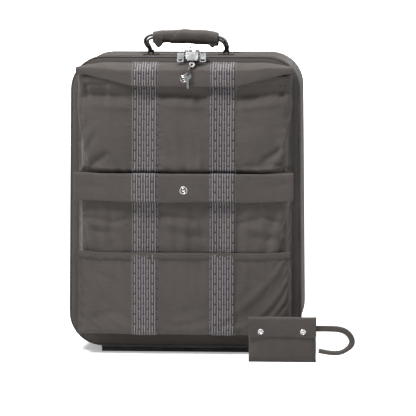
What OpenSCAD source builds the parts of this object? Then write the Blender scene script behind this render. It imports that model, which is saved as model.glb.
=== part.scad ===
// Soft-sided two-wheel cabin flight bag: a fabric case with a zipped front lid, two flapped front
// pockets, a carry handle, a telescopic trolley handle, a padlock on the zip and a matching pouch.
// Origin: on the floor under the middle of the case. Front faces -Y, +Z is up, sizes in mm.

/* [Case] */
// Width of the case at its foot
case_w = 362; // [300:1:440]
// How much narrower the case is near its top
case_taper = 7; // [0:1:20]
// Height of the case body's top above the floor
case_top = 464; // [400:1:560]
// Height of the case body's underside above the floor
case_foot = 11; // [9:1:14]
// Depth from the front panel's face to the back cover's face
case_d = 173; // [140:1:230]
// Radius of the four corners seen from the front
corner_r = 50; // [35:1:60]
// Thickness of the padded side, top and base walls
wall_t = 3; // [2:0.5:5]
// Thickness of the stiff back board
board_t = 2.5; // [1.5:0.5:5]
// Thickness of the back cover fabric and foam
cover_t = 2; // [1:0.5:4]
// Thickness of the lining fabric
lining_t = 1; // [0.8:0.1:2]
// Diameter of the piping cord
piping_d = 3.4; // [2.4:0.2:5]
// Height above the foot where the zip ends at each side
zip_end = 62; // [50:1:90]

/* [Lid and pockets] */
// Thickness of the front panel
panel_t = 4; // [2:0.5:6]
// Depth of the lid's own gusset, from panel to zip
lid_gusset_d = 11; // [8:1:20]
// Thickness of pocket and flap fabric
fabric_t = 2; // [1:0.25:3]
// How far the big pockets' side seams lie in from the case's edge
pocket_inset = 9.5; // [8.5:0.5:40]
// How far the upper pocket stands proud at its belly
upper_belly = 30; // [20:1:45]
// How far the upper pocket stands proud at its mouth
upper_mouth = 16; // [12:1:20]
// How far the lower pocket stands proud
lower_belly = 30; // [20:1:45]
// Clear depth of the slip pocket
slip_gap = 6; // [5:0.5:12]
// Height of the lower pocket's bottom seam
lower_z0 = 30; // [26:1:40]
// How far the slip pocket's mouth lies below the lower pocket's mouth
slip_drop = 99; // [70:1:120]
// Gap between the two big pockets, behind the middle flap
shelf_gap = 21; // [15:1:30]
// Height of the upper pocket
upper_h = 153; // [120:1:165]
// How far the upper pocket's mouth lies below the case's top
mouth_drop = 28; // [26:1:50]
// Length of the middle flap
mid_flap_l = 43; // [30:1:60]
// Length of the top flap below its fold
top_flap_l = 26; // [18:1:40]
// Width of the webbing bands
webbing_w = 40; // [25:1:50]
// Distance of each webbing band from the middle
webbing_x = 61; // [45:1:90]
// Thickness of the webbing
webbing_t = 1; // [0.8:0.1:1.6]
// Diameter of a snap's cap
snap_d = 13; // [9:0.5:16]

/* [Trolley handle and wheels] */
// Half distance between the trolley tubes
tube_x = 52; // [40:1:60]
// Outer radius of the fixed trolley tubes
tube_r = 9; // [8:0.5:10]
// Wall of the trolley tubes
tube_wall = 1.2; // [1:0.1:1.5]
// Radial clearance between one trolley tube and the next
tube_gap = 0.25; // [0.15:0.05:0.4]
// Height of the fixed trolley tubes' lower end above the floor
tube_foot = 20; // [16:1:80]
// Wheel radius
wheel_r = 22; // [18:1:26]
// Wheel width
wheel_w = 20; // [14:1:24]
// Distance of each wheel's middle in from the case's side
wheel_inset = 64; // [61:1:80]
// Axle radius
axle_r = 3; // [2:0.5:4]
// Radial clearance between axle and hub
axle_gap = 0.05; // [0.02:0.01:0.1]

/* [Carry handle] */
// How far each handle anchor lies beyond the end of the grip
anchor_out = 8; // [6:1:16]
// Length of the padded handle grip
grip_l = 104; // [80:1:110]
// Height of the grip's top above the case
grip_rise = 40; // [36:1:60]
// Thickness of the padded grip
grip_t = 21; // [14:1:22]
// Width of the handle webbing
strap_w = 25; // [18:1:32]

/* [Pouch] */
// Width of the pouch
pouch_w = 104; // [80:1:120]
// Height of the pouch
pouch_h = 70; // [55:1:90]
// Thickness of the pouch
pouch_t = 9; // [8:0.5:14]
// Left edge of the pouch, measured from the middle of the case
pouch_x = 105; // [100:1:140]
// How far the pouch's face stands in front of the slip pocket
pouch_ahead = 66; // [40:1:120]
// Width of the pouch strap
pouch_strap_w = 9; // [6:0.5:12]

/* [Hidden] */
$fn = 48;

fit = 0.3;             // clearance between pieces that move past each other
seam_gap = 0.2;        // clearance between pieces that only lie side by side
corner_steps = 8;      // straight pieces in each rounded corner

case_top_w = case_w - case_taper;

// planes from front to back
panel_y = -case_d / 2 - 1.5;
panel_back = panel_y + panel_t;
zip_y = panel_back + lid_gusset_d;
tooth_w = 1.6;
wall_y0 = zip_y + tooth_w;
back_y = panel_y + case_d;
board_y = back_y - cover_t - board_t;
lining_y = board_y - 2 * tube_r - 3;

// colours
taupe = [0.33, 0.31, 0.30];
dark = [0.16, 0.15, 0.15];
black = [0.07, 0.07, 0.07];
silver = [0.8, 0.8, 0.82];

function arc(cx, cz, r, a0, a1, n) =
    [for (k = [0:n]) let (a = a0 + (a1 - a0) * k / n) [cx + r * cos(a), cz + r * sin(a)]];

// front outline of the case, taken in by i
function outline(i) =
    let (hb = case_w / 2 - i, ht = case_top_w / 2 - i, r = corner_r - i,
         z0 = case_foot + i, z1 = case_top - i, n = corner_steps)
    concat(arc(-(ht - r), z1 - r, r, 90, 180, n), arc(-(hb - r), z0 + r, r, 180, 270, n),
           arc(hb - r, z0 + r, r, 270, 360, n), arc(ht - r, z1 - r, r, 0, 90, n));

// even-width strip along a list of points
function side(p, k) =
    let (a = p[max(k - 1, 0)], b = p[min(k + 1, len(p) - 1)], d = b - a)
    [-d[1], d[0]] / norm(d);
function strip(p, t) =
    concat([for (k = [0:len(p) - 1]) p[k] + side(p, k) * t / 2],
           [for (k = [len(p) - 1:-1:0]) p[k] - side(p, k) * t / 2]);

module prism_y(y0, y1) {
    translate([0, y1, 0]) rotate([90, 0, 0]) linear_extrude(y1 - y0) children();
}

module prism_x(x0, x1) {
    translate([x0, 0, 0]) rotate([90, 0, 90]) linear_extrude(x1 - x0) children();
}

module block(x0, x1, y0, y1, z0, z1) {
    translate([x0, y0, z0]) cube([x1 - x0, y1 - y0, z1 - z0]);
}

module both() {
    children();
    mirror([1, 0, 0]) children();
}

module ring(a, b) {
    difference() {
        polygon(outline(a));
        polygon(outline(b));
    }
}

module ring_part(a, b, z0, z1, x0 = -case_w, x1 = case_w) {
    intersection() {
        ring(a, b);
        translate([x0, z0]) square([x1 - x0, z1 - z0]);
    }
}

// ---- case ----

split_low = case_foot + zip_end;
split_high = case_top - corner_r - 14;

// wheel wells cut through the lower rear corners
well_t = 2.5;
well_hw = wheel_w / 2 + 3 + well_t;
wheel_x = case_w / 2 - wheel_inset;
wheel_y = back_y - 11;
well_y = wheel_y - wheel_r - 3;
well_top = 2 * wheel_r + 11;

module wells(g) {
    both() block(wheel_x - well_hw - g, wheel_x + well_hw + g, well_y - g, back_y + 10,
                 case_foot - 10, well_top + g);
}

// cup that the trolley grip rests in
cup_hw = tube_x + 26;
cup_y0 = board_y - 26;
cup_z0 = case_top - 24;

module cup_space(g) {
    block(-cup_hw - g, cup_hw + g, cup_y0 - g, board_y + 1, cup_z0 - g, case_top + 5);
}

module back_board() {
    color(black) difference() {
        prism_y(board_y, board_y + board_t) polygon(outline(0));
        wells(seam_gap);
    }
}

module rear_cover() {
    color(taupe) difference() {
        prism_y(board_y + board_t, back_y) polygon(outline(0));
        wells(seam_gap);
    }
}

module side_gusset(s) {
    color(taupe) prism_y(wall_y0, board_y)
        ring_part(0, wall_t, split_low, split_high, s < 0 ? -case_w : 0, s < 0 ? 0 : case_w);
}

module side_gusset_left() { side_gusset(-1); }

module side_gusset_right() { side_gusset(1); }

module top_gusset() {
    color(taupe) difference() {
        prism_y(wall_y0, board_y) ring_part(0, wall_t, split_high, case_top);
        cup_space(seam_gap);
    }
}

module base_gusset() {
    color(black) difference() {
        prism_y(panel_back + fit, board_y) ring_part(0, wall_t, case_foot, split_low);
        wells(seam_gap);
    }
}

module rear_piping() {
    color(dark) difference() {
        prism_y(back_y - piping_d, back_y) ring(-piping_d * 0.7, 0);
        wells(seam_gap);
    }
}

module lining() {
    i = wall_t + seam_gap;
    color(dark) difference() {
        prism_y(wall_y0 + 2, lining_y + lining_t) polygon(outline(i));
        prism_y(wall_y0, lining_y) polygon(outline(i + lining_t));
        wells(seam_gap);
        cup_space(seam_gap);
    }
}

module zip_tape_case() {
    color(black) prism_y(zip_y + tooth_w + seam_gap, wall_y0 + 1.8)
        ring_part(wall_t, wall_t + 0.9, split_low, case_top);
}

module zip_teeth_case() {
    color(dark) prism_y(zip_y + seam_gap / 2, wall_y0)
        ring_part(-0.8, wall_t, split_low, case_top + 1);
}

base_hw = case_w / 2 - corner_r + 2;
foot_h = 5;
skid_hw = 12;
skid_end = 50;

module base_plate() {
    color(black) difference() {
        block(-base_hw, base_hw, panel_back + 1, back_y - piping_d - fit, foot_h, case_foot);
        both() block(wheel_x - well_hw - 1, base_hw + 1, well_y - 1, back_y, 0, case_foot + 1);
    }
}

// full-width foot with a middle skid that runs back under the case
module front_foot() {
    color(black) {
        prism_x(-base_hw + 1, base_hw - 1) polygon([
            [panel_y - 1, foot_h - 0.5], [panel_y, 0], [panel_y + 24, 0], [panel_y + 26, foot_h],
            [panel_y - 0.5, foot_h]]);
        prism_x(-skid_hw, skid_hw) polygon([
            [panel_y + 20, 0], [skid_end - foot_h, 0], [skid_end, foot_h], [panel_y + 20, foot_h]]);
    }
}

module wheel_housings() {
    x0 = wheel_x - well_hw;
    x1 = wheel_x + well_hw;
    color(black) both() difference() {
        block(x0, x1, well_y, back_y - 0.5, case_foot, well_top);
        block(x0 + well_t, x1 - well_t, well_y + well_t, back_y + 1, case_foot - 1, well_top - well_t);
        translate([x0 - 1, wheel_y, wheel_r]) rotate([0, 90, 0])
            cylinder(r = axle_r + 0.02, h = x1 - x0 + 2);
    }
}

module wheel_axles() {
    color(silver) both() translate([wheel_x - well_hw + 0.3, wheel_y, wheel_r]) rotate([0, 90, 0])
        cylinder(r = axle_r, h = 2 * well_hw - 0.6);
}

module wheel_hub(s) {
    hub_r = wheel_r - 5;
    color(dark) translate([s * wheel_x, wheel_y, wheel_r]) rotate([0, 90, 0]) difference() {
        cylinder(r = hub_r, h = wheel_w, center = true);
        cylinder(r = axle_r + axle_gap, h = wheel_w + 2, center = true);
        for (e = [-1, 1]) translate([0, 0, e * wheel_w / 2]) difference() {
            cylinder(r = hub_r - 2.5, h = 8, center = true);
            cylinder(r = axle_r + 3, h = 9, center = true);
        }
    }
}

module wheel_tyre(s) {
    color(black) translate([s * wheel_x, wheel_y, wheel_r]) rotate([0, 90, 0]) rotate_extrude()
        polygon([[wheel_r - 5, -wheel_w / 2], [wheel_r - 1.5, -wheel_w / 2], [wheel_r, -wheel_w / 2 + 3],
                 [wheel_r, wheel_w / 2 - 3], [wheel_r - 1.5, wheel_w / 2], [wheel_r - 5, wheel_w / 2]]);
}

module wheel_hub_left() { wheel_hub(-1); }

module wheel_hub_right() { wheel_hub(1); }

module wheel_tyre_left() { wheel_tyre(-1); }

module wheel_tyre_right() { wheel_tyre(1); }

// ---- trolley handle ----

tube_y = board_y - tube_r - 1.5;
middle_r = tube_r - tube_wall - tube_gap;
inner_r = middle_r - tube_wall - tube_gap;
tube_top = cup_z0;
cup_floor = 4;

module tube(r, wall, z0, z1) {
    both() translate([tube_x, tube_y, z0]) difference() {
        cylinder(r = r, h = z1 - z0);
        translate([0, 0, -1]) cylinder(r = r - wall, h = z1 - z0 + 2);
    }
}

module tube_outer() {
    color(silver) tube(tube_r, tube_wall, tube_foot, tube_top);
}

module tube_middle() {
    color(silver) tube(middle_r, tube_wall, tube_foot + 8, tube_top + cup_floor + 1);
}

module tube_inner() {
    color(silver) tube(inner_r, tube_wall, tube_foot + 14, tube_top + cup_floor + 4);
}

module handle_cup() {
    color(black) difference() {
        union() {
            block(-cup_hw, cup_hw, cup_y0, board_y - seam_gap, cup_z0, case_top);
            block(-cup_hw - 5, cup_hw + 5, cup_y0 - 4, back_y - piping_d - fit, case_top, case_top + 1.5);
        }
        block(-cup_hw + 3, cup_hw - 3, cup_y0 + 2.5, board_y - 2.5, cup_z0 + cup_floor, case_top + 2);
        both() translate([tube_x, tube_y, cup_z0 - 1]) cylinder(r = middle_r + tube_gap, h = cup_floor + 2);
    }
}

trolley_hw = tube_x + 18;
trolley_z0 = tube_top + cup_floor + 4;
trolley_z1 = case_top + 1.2;
button_hw = 14;

module trolley_grip() {
    bar_z = trolley_z1 - 9;
    color(black) difference() {
        prism_y(tube_y - 6.5, tube_y + 6.5) polygon([
            [-trolley_hw, trolley_z0], [-tube_x + 9, trolley_z0], [-tube_x + 13, bar_z],
            [tube_x - 13, bar_z], [tube_x - 9, trolley_z0], [trolley_hw, trolley_z0],
            [trolley_hw, trolley_z1 - 3], [trolley_hw - 3, trolley_z1],
            [-trolley_hw + 3, trolley_z1], [-trolley_hw, trolley_z1 - 3]]);
        block(-button_hw - fit, button_hw + fit, tube_y - 4, tube_y + 4, trolley_z1 - 6, trolley_z1 + 1);
    }
}

module release_button() {
    color(dark) prism_y(tube_y - 4 + fit, tube_y + 4 - fit) polygon([
        [-button_hw, trolley_z1 - 2.8], [button_hw, trolley_z1 - 2.8], [button_hw, trolley_z1 + 0.6],
        [button_hw - 2, trolley_z1 + 1.4], [-button_hw + 2, trolley_z1 + 1.4],
        [-button_hw, trolley_z1 + 0.6]]);
}

// ---- carry handle ----

anchor_x = grip_l / 2 + anchor_out;
anchor_h = 2;
handle_y = (wall_y0 + cup_y0) / 2;
handle_top = case_top + grip_rise;
grip_mid = handle_top - grip_t / 2;
loop_t = 4;
pivot_rise = 4;
pivot_z = case_top + anchor_h + pivot_rise;
pin_r = 1.5;
pin_gap = 0.06;
ear_t = 2.4;

// stitched plate with two ears and the pin that the webbing's end turns on
module handle_anchors() {
    w = strap_w / 2 + 3;
    ear_x = loop_t / 2 + 0.4;
    color(dark) both() translate([anchor_x, handle_y, case_top]) difference() {
        union() {
            block(-12, 12, -w, w, 0, anchor_h);
            for (e = [-1, 1]) translate([e * (ear_x + ear_t / 2), 0, 0])
                block(-ear_t / 2, ear_t / 2, -3.5, 3.5, anchor_h, anchor_h + pivot_rise + 3);
            translate([-ear_x - 0.5, 0, anchor_h + pivot_rise]) rotate([0, 90, 0])
                cylinder(r = pin_r, h = 2 * ear_x + 1);
        }
        for (e = [-1, 1]) translate([8.5 * e, w - 5, -1]) cylinder(r = 1.6, h = anchor_h + 2);
    }
}

// the doubled webbing: folded narrow at the pin, up round the shoulder and into the grip
module handle_webbing() {
    r = grip_mid - pivot_z - 2;
    run = grip_l / 2 - 6;
    hw = strap_w / 2;
    shoulder = arc(anchor_x - r, pivot_z + 2, r, 0, 90, 8);
    color(black) both() difference() {
        intersection() {
            prism_y(handle_y - hw, handle_y + hw) polygon(strip(
                concat([[anchor_x, pivot_z - 2.4]], shoulder, [[min(run, anchor_x - r - 1), grip_mid]]),
                loop_t));
            translate([0, handle_y, pivot_z]) prism_x(0, anchor_x + 10) polygon([
                [-3, -3], [3, -3], [3, 1.5], [hw, 7], [hw, 60], [-hw, 60], [-hw, 7], [-3, 1.5]]);
        }
        translate([anchor_x - loop_t, handle_y, pivot_z]) rotate([0, 90, 0])
            cylinder(r = pin_r + pin_gap, h = 2 * loop_t);
    }
}

module handle_wrap() {
    hl = grip_l / 2;
    bite = grip_t - loop_t - 2;
    color(taupe) difference() {
        union() {
            prism_y(handle_y - strap_w / 2 - 3, handle_y + strap_w / 2 + 3) polygon([
                [-hl, grip_mid - grip_t / 2 + 2], [-hl + 3, grip_mid - grip_t / 2],
                [hl - 3, grip_mid - grip_t / 2], [hl, grip_mid - grip_t / 2 + 2],
                [hl, handle_top - 3], [hl - 4, handle_top], [-hl + 4, handle_top], [-hl, handle_top - 3]]);
            both() for (e = [-1, 1]) translate([0, e * (strap_w / 2 + 1.5), 0])
                prism_y(handle_y - 1.4, handle_y + 1.4) polygon([
                    [hl - 14, grip_mid - bite / 2], [hl - 2, grip_mid - bite / 2],
                    [hl - 2, grip_mid - grip_t / 2], [hl - 7, grip_mid - grip_t / 2 - 7],
                    [hl - 14, grip_mid - grip_t / 2]]);
        }
        both() prism_y(handle_y - strap_w / 2 - fit, handle_y + strap_w / 2 + fit) polygon([
            [hl - 34, grip_mid - loop_t], [hl + 1, grip_mid - loop_t - 8],
            [hl + 1, grip_mid + loop_t], [hl - 34, grip_mid + loop_t]]);
    }
}

// ---- lid ----

pocket_hw = case_top_w / 2 - pocket_inset;
upper_top = case_top - mouth_drop;
shelf_z = upper_top - upper_h;
lower_top = shelf_z - shelf_gap;
slip_top = lower_top - slip_drop;

module front_panel() {
    color(taupe) prism_y(panel_y, panel_back) polygon(outline(0));
}

module lid_gusset() {
    color(taupe) prism_y(panel_back, zip_y - tooth_w)
        ring_part(0, wall_t, split_low, case_top);
}

module front_piping() {
    color(dark) prism_y(panel_y, panel_y + piping_d) ring(-piping_d * 0.7, 0);
}

module zip_tape_lid() {
    color(black) prism_y(panel_back + 2, zip_y - tooth_w - seam_gap)
        ring_part(wall_t, wall_t + 0.9, split_low, case_top);
}

module zip_teeth_lid() {
    color(dark) prism_y(zip_y - tooth_w, zip_y - seam_gap / 2)
        ring_part(-0.8, wall_t, split_low, case_top + 1);
}

// side view of the upper pocket, taken in by t
belly_z = shelf_z + (upper_top - shelf_z) * 0.38;
function upper_front(z) =
    z < belly_z ? panel_y - upper_belly + 2 * (belly_z - z) / (belly_z - shelf_z)
                : panel_y - upper_belly + (upper_belly - upper_mouth) * (z - belly_z) / (upper_top - belly_z);

module upper_pocket() {
    color(taupe) difference() {
        prism_x(-pocket_hw, pocket_hw) polygon([
            [panel_y, shelf_z], [upper_front(shelf_z), shelf_z], [upper_front(belly_z), belly_z],
            [upper_front(upper_top), upper_top], [panel_y, upper_top]]);
        prism_x(-pocket_hw + fabric_t, pocket_hw - fabric_t) polygon([
            [panel_y + 1, shelf_z + fabric_t], [upper_front(shelf_z) + fabric_t, shelf_z + fabric_t],
            [upper_front(belly_z) + fabric_t, belly_z], [upper_front(upper_top) + fabric_t, upper_top],
            [upper_front(upper_top) + fabric_t, upper_top + 1], [panel_y + 1, upper_top + 1]]);
    }
}

lower_y = panel_y - lower_belly;
slip_y = lower_y - slip_gap - fabric_t;

module lower_pocket() {
    color(taupe) difference() {
        block(-pocket_hw, pocket_hw, lower_y, panel_y, lower_z0, lower_top);
        block(-pocket_hw + fabric_t, pocket_hw - fabric_t, lower_y + fabric_t, panel_y + 1,
              lower_z0 + fabric_t, lower_top + 1);
    }
}

module slip_pocket() {
    hw = pocket_hw - 2;
    color(taupe) difference() {
        block(-hw, hw, slip_y, lower_y, lower_z0 + 2, slip_top);
        block(-hw + fabric_t, hw - fabric_t, slip_y + fabric_t, lower_y + 1,
              lower_z0 + 2 + fabric_t, slip_top + 1);
    }
}

module bands(y, z0, z1) {
    both() block(webbing_x - webbing_w / 2, webbing_x + webbing_w / 2, y - webbing_t, y, z0, z1);
}

module webbing_upper() {
    z0 = shelf_z + 1;
    z1 = fold_z - 12;
    x0 = webbing_x - webbing_w / 2;
    color(dark) both() prism_x(x0, x0 + webbing_w) polygon([
        [upper_front(z0), z0], [upper_front(belly_z), belly_z], [upper_front(z1), z1],
        [upper_front(z1) - webbing_t, z1], [upper_front(belly_z) - webbing_t, belly_z],
        [upper_front(z0) - webbing_t, z0]]);
}

module webbing_lower() {
    color(dark) {
        bands(lower_y, slip_top + 0.5, lower_top - 2);
        bands(slip_y, lower_z0 + 4, slip_top - 0.5);
    }
}

// ---- flaps ----

hood_root_z = case_top - 8;
fold_z = upper_top + 11;
fold_y = panel_y - upper_mouth;
flap_drop = 4;           // how far the top flap's lower edge stands forward of its fold
tip_hw = pocket_hw + 2;

module hood_cut(z0, z1) {
    prism_y(panel_y - 80, panel_y) polygon([
        [-tip_hw + 14, z1], [-tip_hw, z1 - 8], [-tip_hw, z0], [tip_hw, z0], [tip_hw, z1 - 8],
        [tip_hw - 14, z1]]);
}

// fixed roof from the lid's top edge to the fold of the top flap
module top_hood() {
    color(taupe) intersection() {
        prism_x(-tip_hw, tip_hw) polygon([
            [panel_y, hood_root_z - fabric_t], [panel_y, hood_root_z], [panel_y - 3, hood_root_z + 1],
            [fold_y, fold_z + 1.5], [fold_y - 1, fold_z], [fold_y, fold_z - 1]]);
        hood_cut(fold_z - 5, hood_root_z + 2);
    }
}

module top_flap() {
    z1 = fold_z - fit;
    z0 = fold_z - top_flap_l;
    slope = flap_drop / top_flap_l;
    y1 = fold_y - 1.5;
    y0 = y1 - slope * (z1 - z0);
    color(taupe) intersection() {
        prism_x(-tip_hw, tip_hw)
            polygon([[y1 - fabric_t, z1], [y1, z1 - 1], [y0, z0], [y0 - fabric_t, z0]]);
        prism_y(panel_y - 80, panel_y) polygon([
            [-tip_hw, z1 + 1], [-tip_hw, z0 + 20], [-tip_hw + 20, z0 + 10], [-tip_hw + 50, z0],
            [tip_hw - 50, z0], [tip_hw - 20, z0 + 10], [tip_hw, z0 + 20], [tip_hw, z1 + 1]]);
    }
}

function flap_face(z) = fold_y - 1.5 - fabric_t - flap_drop / top_flap_l * (fold_z - fit - z);

module webbing_top_flap() {
    z1 = fold_z - fit - 0.5;
    z0 = fold_z - top_flap_l + 0.5;
    x0 = webbing_x - webbing_w / 2;
    color(dark) both() prism_x(x0, x0 + webbing_w) polygon([
        [flap_face(z1), z1], [flap_face(z0), z0], [flap_face(z0) - webbing_t, z0],
        [flap_face(z1) - webbing_t, z1]]);
}

top_snap_z = fold_z - 15;
mid_y = min(lower_y, upper_front(shelf_z)) - webbing_t - 2.2;
mid_fold_z = shelf_z - 1;
mid_snap_z = mid_fold_z - 23;

module snap_cap(y, z, lean = 0) {
    color(silver) translate([0, y, z]) rotate([90 - lean, 0, 0]) difference() {
        union() {
            cylinder(d = snap_d, h = 1.2);
            translate([0, 0, 1]) cylinder(d = snap_d - 4, h = 1);
        }
        translate([0, 0, 1.6]) cylinder(d = snap_d - 7, h = 2);
    }
}

module top_snap_cap() { snap_cap(flap_face(top_snap_z), top_snap_z, atan(flap_drop / top_flap_l)); }

module mid_snap_cap() { snap_cap(mid_y - fabric_t, mid_snap_z); }

module mid_flap() {
    color(taupe) block(-tip_hw, tip_hw, mid_y - fabric_t, mid_y, mid_fold_z - mid_flap_l, mid_fold_z - fit);
}

module webbing_mid_flap() {
    color(dark) bands(mid_y - fabric_t, mid_fold_z - mid_flap_l + 0.5, mid_fold_z - fit - 0.5);
}

module snap_studs() {
    color(silver) {
        translate([0, upper_front(top_snap_z - 2.5), top_snap_z]) rotate([90, 0, 0])
            cylinder(d = 5, h = 1);
        translate([0, lower_y, mid_snap_z]) rotate([90, 0, 0]) cylinder(d = 5, h = 2);
    }
}

// ---- zip sliders and padlock ----

slider_l = 12;
slider_x = [-5, 26];
arm_hw = 3.8;            // half width over the two arms of a zip pull
slider_z = case_top + fit;
crown_y = zip_y - 7;
crown_z = slider_z + 6.5;
tilt = 29;               // how far the padlock leans forward
lock_pivot = [0, panel_y - 7.5, case_top + 11];
leg_x = [7.5, 16.5];
leg_r = 1.3;
lock_w = 20;
lock_h = 15;
lock_t = 8;
lock_drop = 3.6;         // from the shackle's eye down to the padlock's top
lock_mid = (leg_x[0] + leg_x[1]) / 2;

module lock_frame() {
    translate(lock_pivot) rotate([-tilt, 0, 0]) children();
}

module slider_body(x) {
    hl = slider_l / 2;
    difference() {
        union() {
            prism_x(x - hl, x + hl) polygon([
                [zip_y - 8, slider_z], [zip_y + 8, slider_z], [zip_y + 7, slider_z + 3],
                [zip_y - 7, slider_z + 3]]);
            prism_x(x - 1.6, x + 1.6) polygon([
                [crown_y - 2.6, slider_z], [crown_y + 2.6, slider_z], [crown_y + 2.6, crown_z + 2.6],
                [crown_y - 2.6, crown_z + 2.6]]);
        }
        block(x - hl - 1, x + hl + 1, zip_y - tooth_w - fit, zip_y + tooth_w + fit, slider_z - 1,
              case_top + 0.8 + fit);
        translate([x - 5, crown_y, crown_z]) rotate([0, 90, 0]) cylinder(r = 1.25, h = 10);
    }
}

module zip_slider_left() {
    x1 = leg_x[0] + 3.6;
    x0 = slider_x[0] + arm_hw + 0.4;
    color(silver) difference() {
        union() {
            slider_body(slider_x[0]);
            block(x0, slider_x[0] + slider_l / 2, crown_y - 2, crown_y + 2, slider_z + 1,
                  lock_pivot[2] + 0.8);
            block(x0, x1, crown_y - 2, crown_y + 2, lock_pivot[2] - 0.8, lock_pivot[2] + 0.8);
            block(leg_x[0] - 3.6, x1, lock_pivot[1] - 3.6, crown_y, lock_pivot[2] - 0.8,
                  lock_pivot[2] + 0.8);
        }
        lock_frame() translate([leg_x[0], 0, -6]) cylinder(r = leg_r + 0.7, h = 12);
    }
}

module zip_slider_right() {
    x0 = leg_x[1] - 0.4;
    x1 = leg_x[1] + 5;
    x2 = slider_x[1] - arm_hw - 0.4;
    color(silver) difference() {
        union() {
            slider_body(slider_x[1]);
            block(slider_x[1] - slider_l / 2, x2, crown_y - 2, crown_y + 2, slider_z + 1,
                  lock_pivot[2] + 0.8);
            block(x0, x2, crown_y - 2, crown_y + 2, lock_pivot[2] - 0.8, lock_pivot[2] + 0.8);
            block(x0, x1, lock_pivot[1] - 3.6, crown_y, lock_pivot[2] - 0.8, lock_pivot[2] + 0.8);
        }
        // the eye is open on the side of the other slider
        lock_frame() {
            translate([leg_x[1], 0, -6]) cylinder(r = leg_r + 0.7, h = 12);
            block(leg_x[1] - 6, leg_x[1], -leg_r - 0.7, leg_r + 0.7, -6, 6);
        }
    }
}

module zip_pull(x, dx) {
    pin_r = 1;
    arm_z = crown_z;
    y1 = panel_y - 5;
    color(silver) {
        difference() {
            union() {
                for (e = [-1, 1]) block(x + e * (arm_hw - 0.8) - 0.8, x + e * (arm_hw - 0.8) + 0.8, y1 - 1,
                                        crown_y + 1.2, arm_z - 0.9, arm_z + 0.9);
                translate([x - 3, crown_y, crown_z]) rotate([0, 90, 0]) cylinder(r = pin_r, h = 6);
                prism_x(x + dx - 5, x + dx + 5) polygon([
                    [y1, arm_z + 0.9], [y1 - 1.6, arm_z + 0.9], [y1 - 8.6, arm_z - 13],
                    [y1 - 7, arm_z - 13], [y1 + 0.4, arm_z - 0.9]]);
            }
            block(x + dx - 3, x + dx + 3, y1 - 12, y1, arm_z - 11.4, arm_z - 8.6);
        }
    }
}

module zip_pull_left() { zip_pull(slider_x[0], -1.5); }

module zip_pull_right() { zip_pull(slider_x[1], 2.5); }

module padlock_body() {
    z1 = -lock_drop;
    color(silver) lock_frame() difference() {
        union() {
            translate([0, lock_t / 2, 0]) rotate([90, 0, 0]) linear_extrude(lock_t) polygon([
                [lock_mid - lock_w / 2 + 2, z1], [lock_mid - lock_w / 2, z1 - 2],
                [lock_mid - lock_w / 2, z1 - lock_h + 3], [lock_mid - lock_w / 2 + 3, z1 - lock_h],
                [lock_mid + lock_w / 2 - 3, z1 - lock_h], [lock_mid + lock_w / 2, z1 - lock_h + 3],
                [lock_mid + lock_w / 2, z1 - 2], [lock_mid + lock_w / 2 - 2, z1]]);
        }
        for (x = leg_x) translate([x, 0, z1 - 9]) cylinder(r = leg_r + 0.1, h = 10);
        translate([lock_mid, 0, z1 - lock_h - 1]) cylinder(r = 2.6, h = 4);
    }
}

module padlock_shackle() {
    span = leg_x[1] - leg_x[0];
    bend_z = 2.6;
    color(silver) lock_frame() {
        for (x = leg_x) translate([x, 0, -11]) cylinder(r = leg_r, h = bend_z + 11);
        translate([lock_mid, 0, bend_z]) rotate([90, 0, 0]) rotate_extrude(angle = 180)
            translate([span / 2, 0]) circle(r = leg_r);
    }
}

key_top = -lock_drop - lock_h;
bow_r = 4.6;

module bow(r, t) {
    rotate([90, 0, 0]) difference() {
        cylinder(r = r, h = t, center = true);
        translate([0, -r * 0.2, 0]) cylinder(r = r * 0.42, h = t + 2, center = true);
    }
}

module lock_key() {
    color(silver) lock_frame() translate([lock_mid, 0, key_top]) {
        translate([-1.4, -0.8, -1.5]) cube([2.8, 1.6, 3.6]);
        translate([0, 0, -bow_r - 0.8]) bow(bow_r, 1.6);
    }
}

// a point in front of the padlock's own plane: d along it, out ahead of it
function lock_point(d, out) =
    [lock_pivot[1] - d * sin(tilt) - out * cos(tilt), lock_pivot[2] - d * cos(tilt) + out * sin(tilt)];

// where the thong leaves the upper key's bow, and where the spare key hangs
thong_top = lock_point(-key_top + 2 * bow_r - 1.5, 2);
spare_y = fold_y - flap_drop - 8.6;
spare_z = fold_z - 5;

module key_thong() {
    front = spare_y - 1.8;
    color(dark) prism_x(lock_mid - 5.2, lock_mid - 2.6) polygon(strip([
        thong_top, [thong_top[0] - 2, thong_top[1] - 2.5], [front, spare_z + 1.5], [front, spare_z - 4]],
        1.2));
}

module spare_key() {
    x = lock_mid - 6;
    color(silver) difference() {
        union() {
            translate([x, spare_y, spare_z - bow_r - 1]) rotate([90, 0, 0])
                cylinder(r = bow_r + 1, h = 1.6, center = true);
            translate([x, spare_y, 0]) prism_y(-0.8, 0.8) polygon([
                [-2, spare_z - 10], [2, spare_z - 10], [1.8, spare_z - 23], [0.4, spare_z - 26],
                [-1.4, spare_z - 23]]);
        }
        translate([x, spare_y, spare_z - 4]) rotate([90, 0, 0]) cylinder(r = 1.6, h = 4, center = true);
    }
}

// ---- pouch ----

pouch_wall = 1.5;
pouch_face = slip_y - pouch_ahead;
flap_t = 1.5;
pouch_flap_l = 31;
pouch_snap_x = [19, 84];
pouch_snap_z = pouch_h - 22;

module pouch_shell() {
    color(taupe) difference() {
        block(pouch_x, pouch_x + pouch_w, pouch_face, pouch_face + pouch_t, 0, pouch_h - flap_t - fit);
        block(pouch_x + pouch_wall, pouch_x + pouch_w - pouch_wall, pouch_face + pouch_wall,
              pouch_face + pouch_t - pouch_wall, pouch_wall, pouch_h);
    }
}

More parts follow.
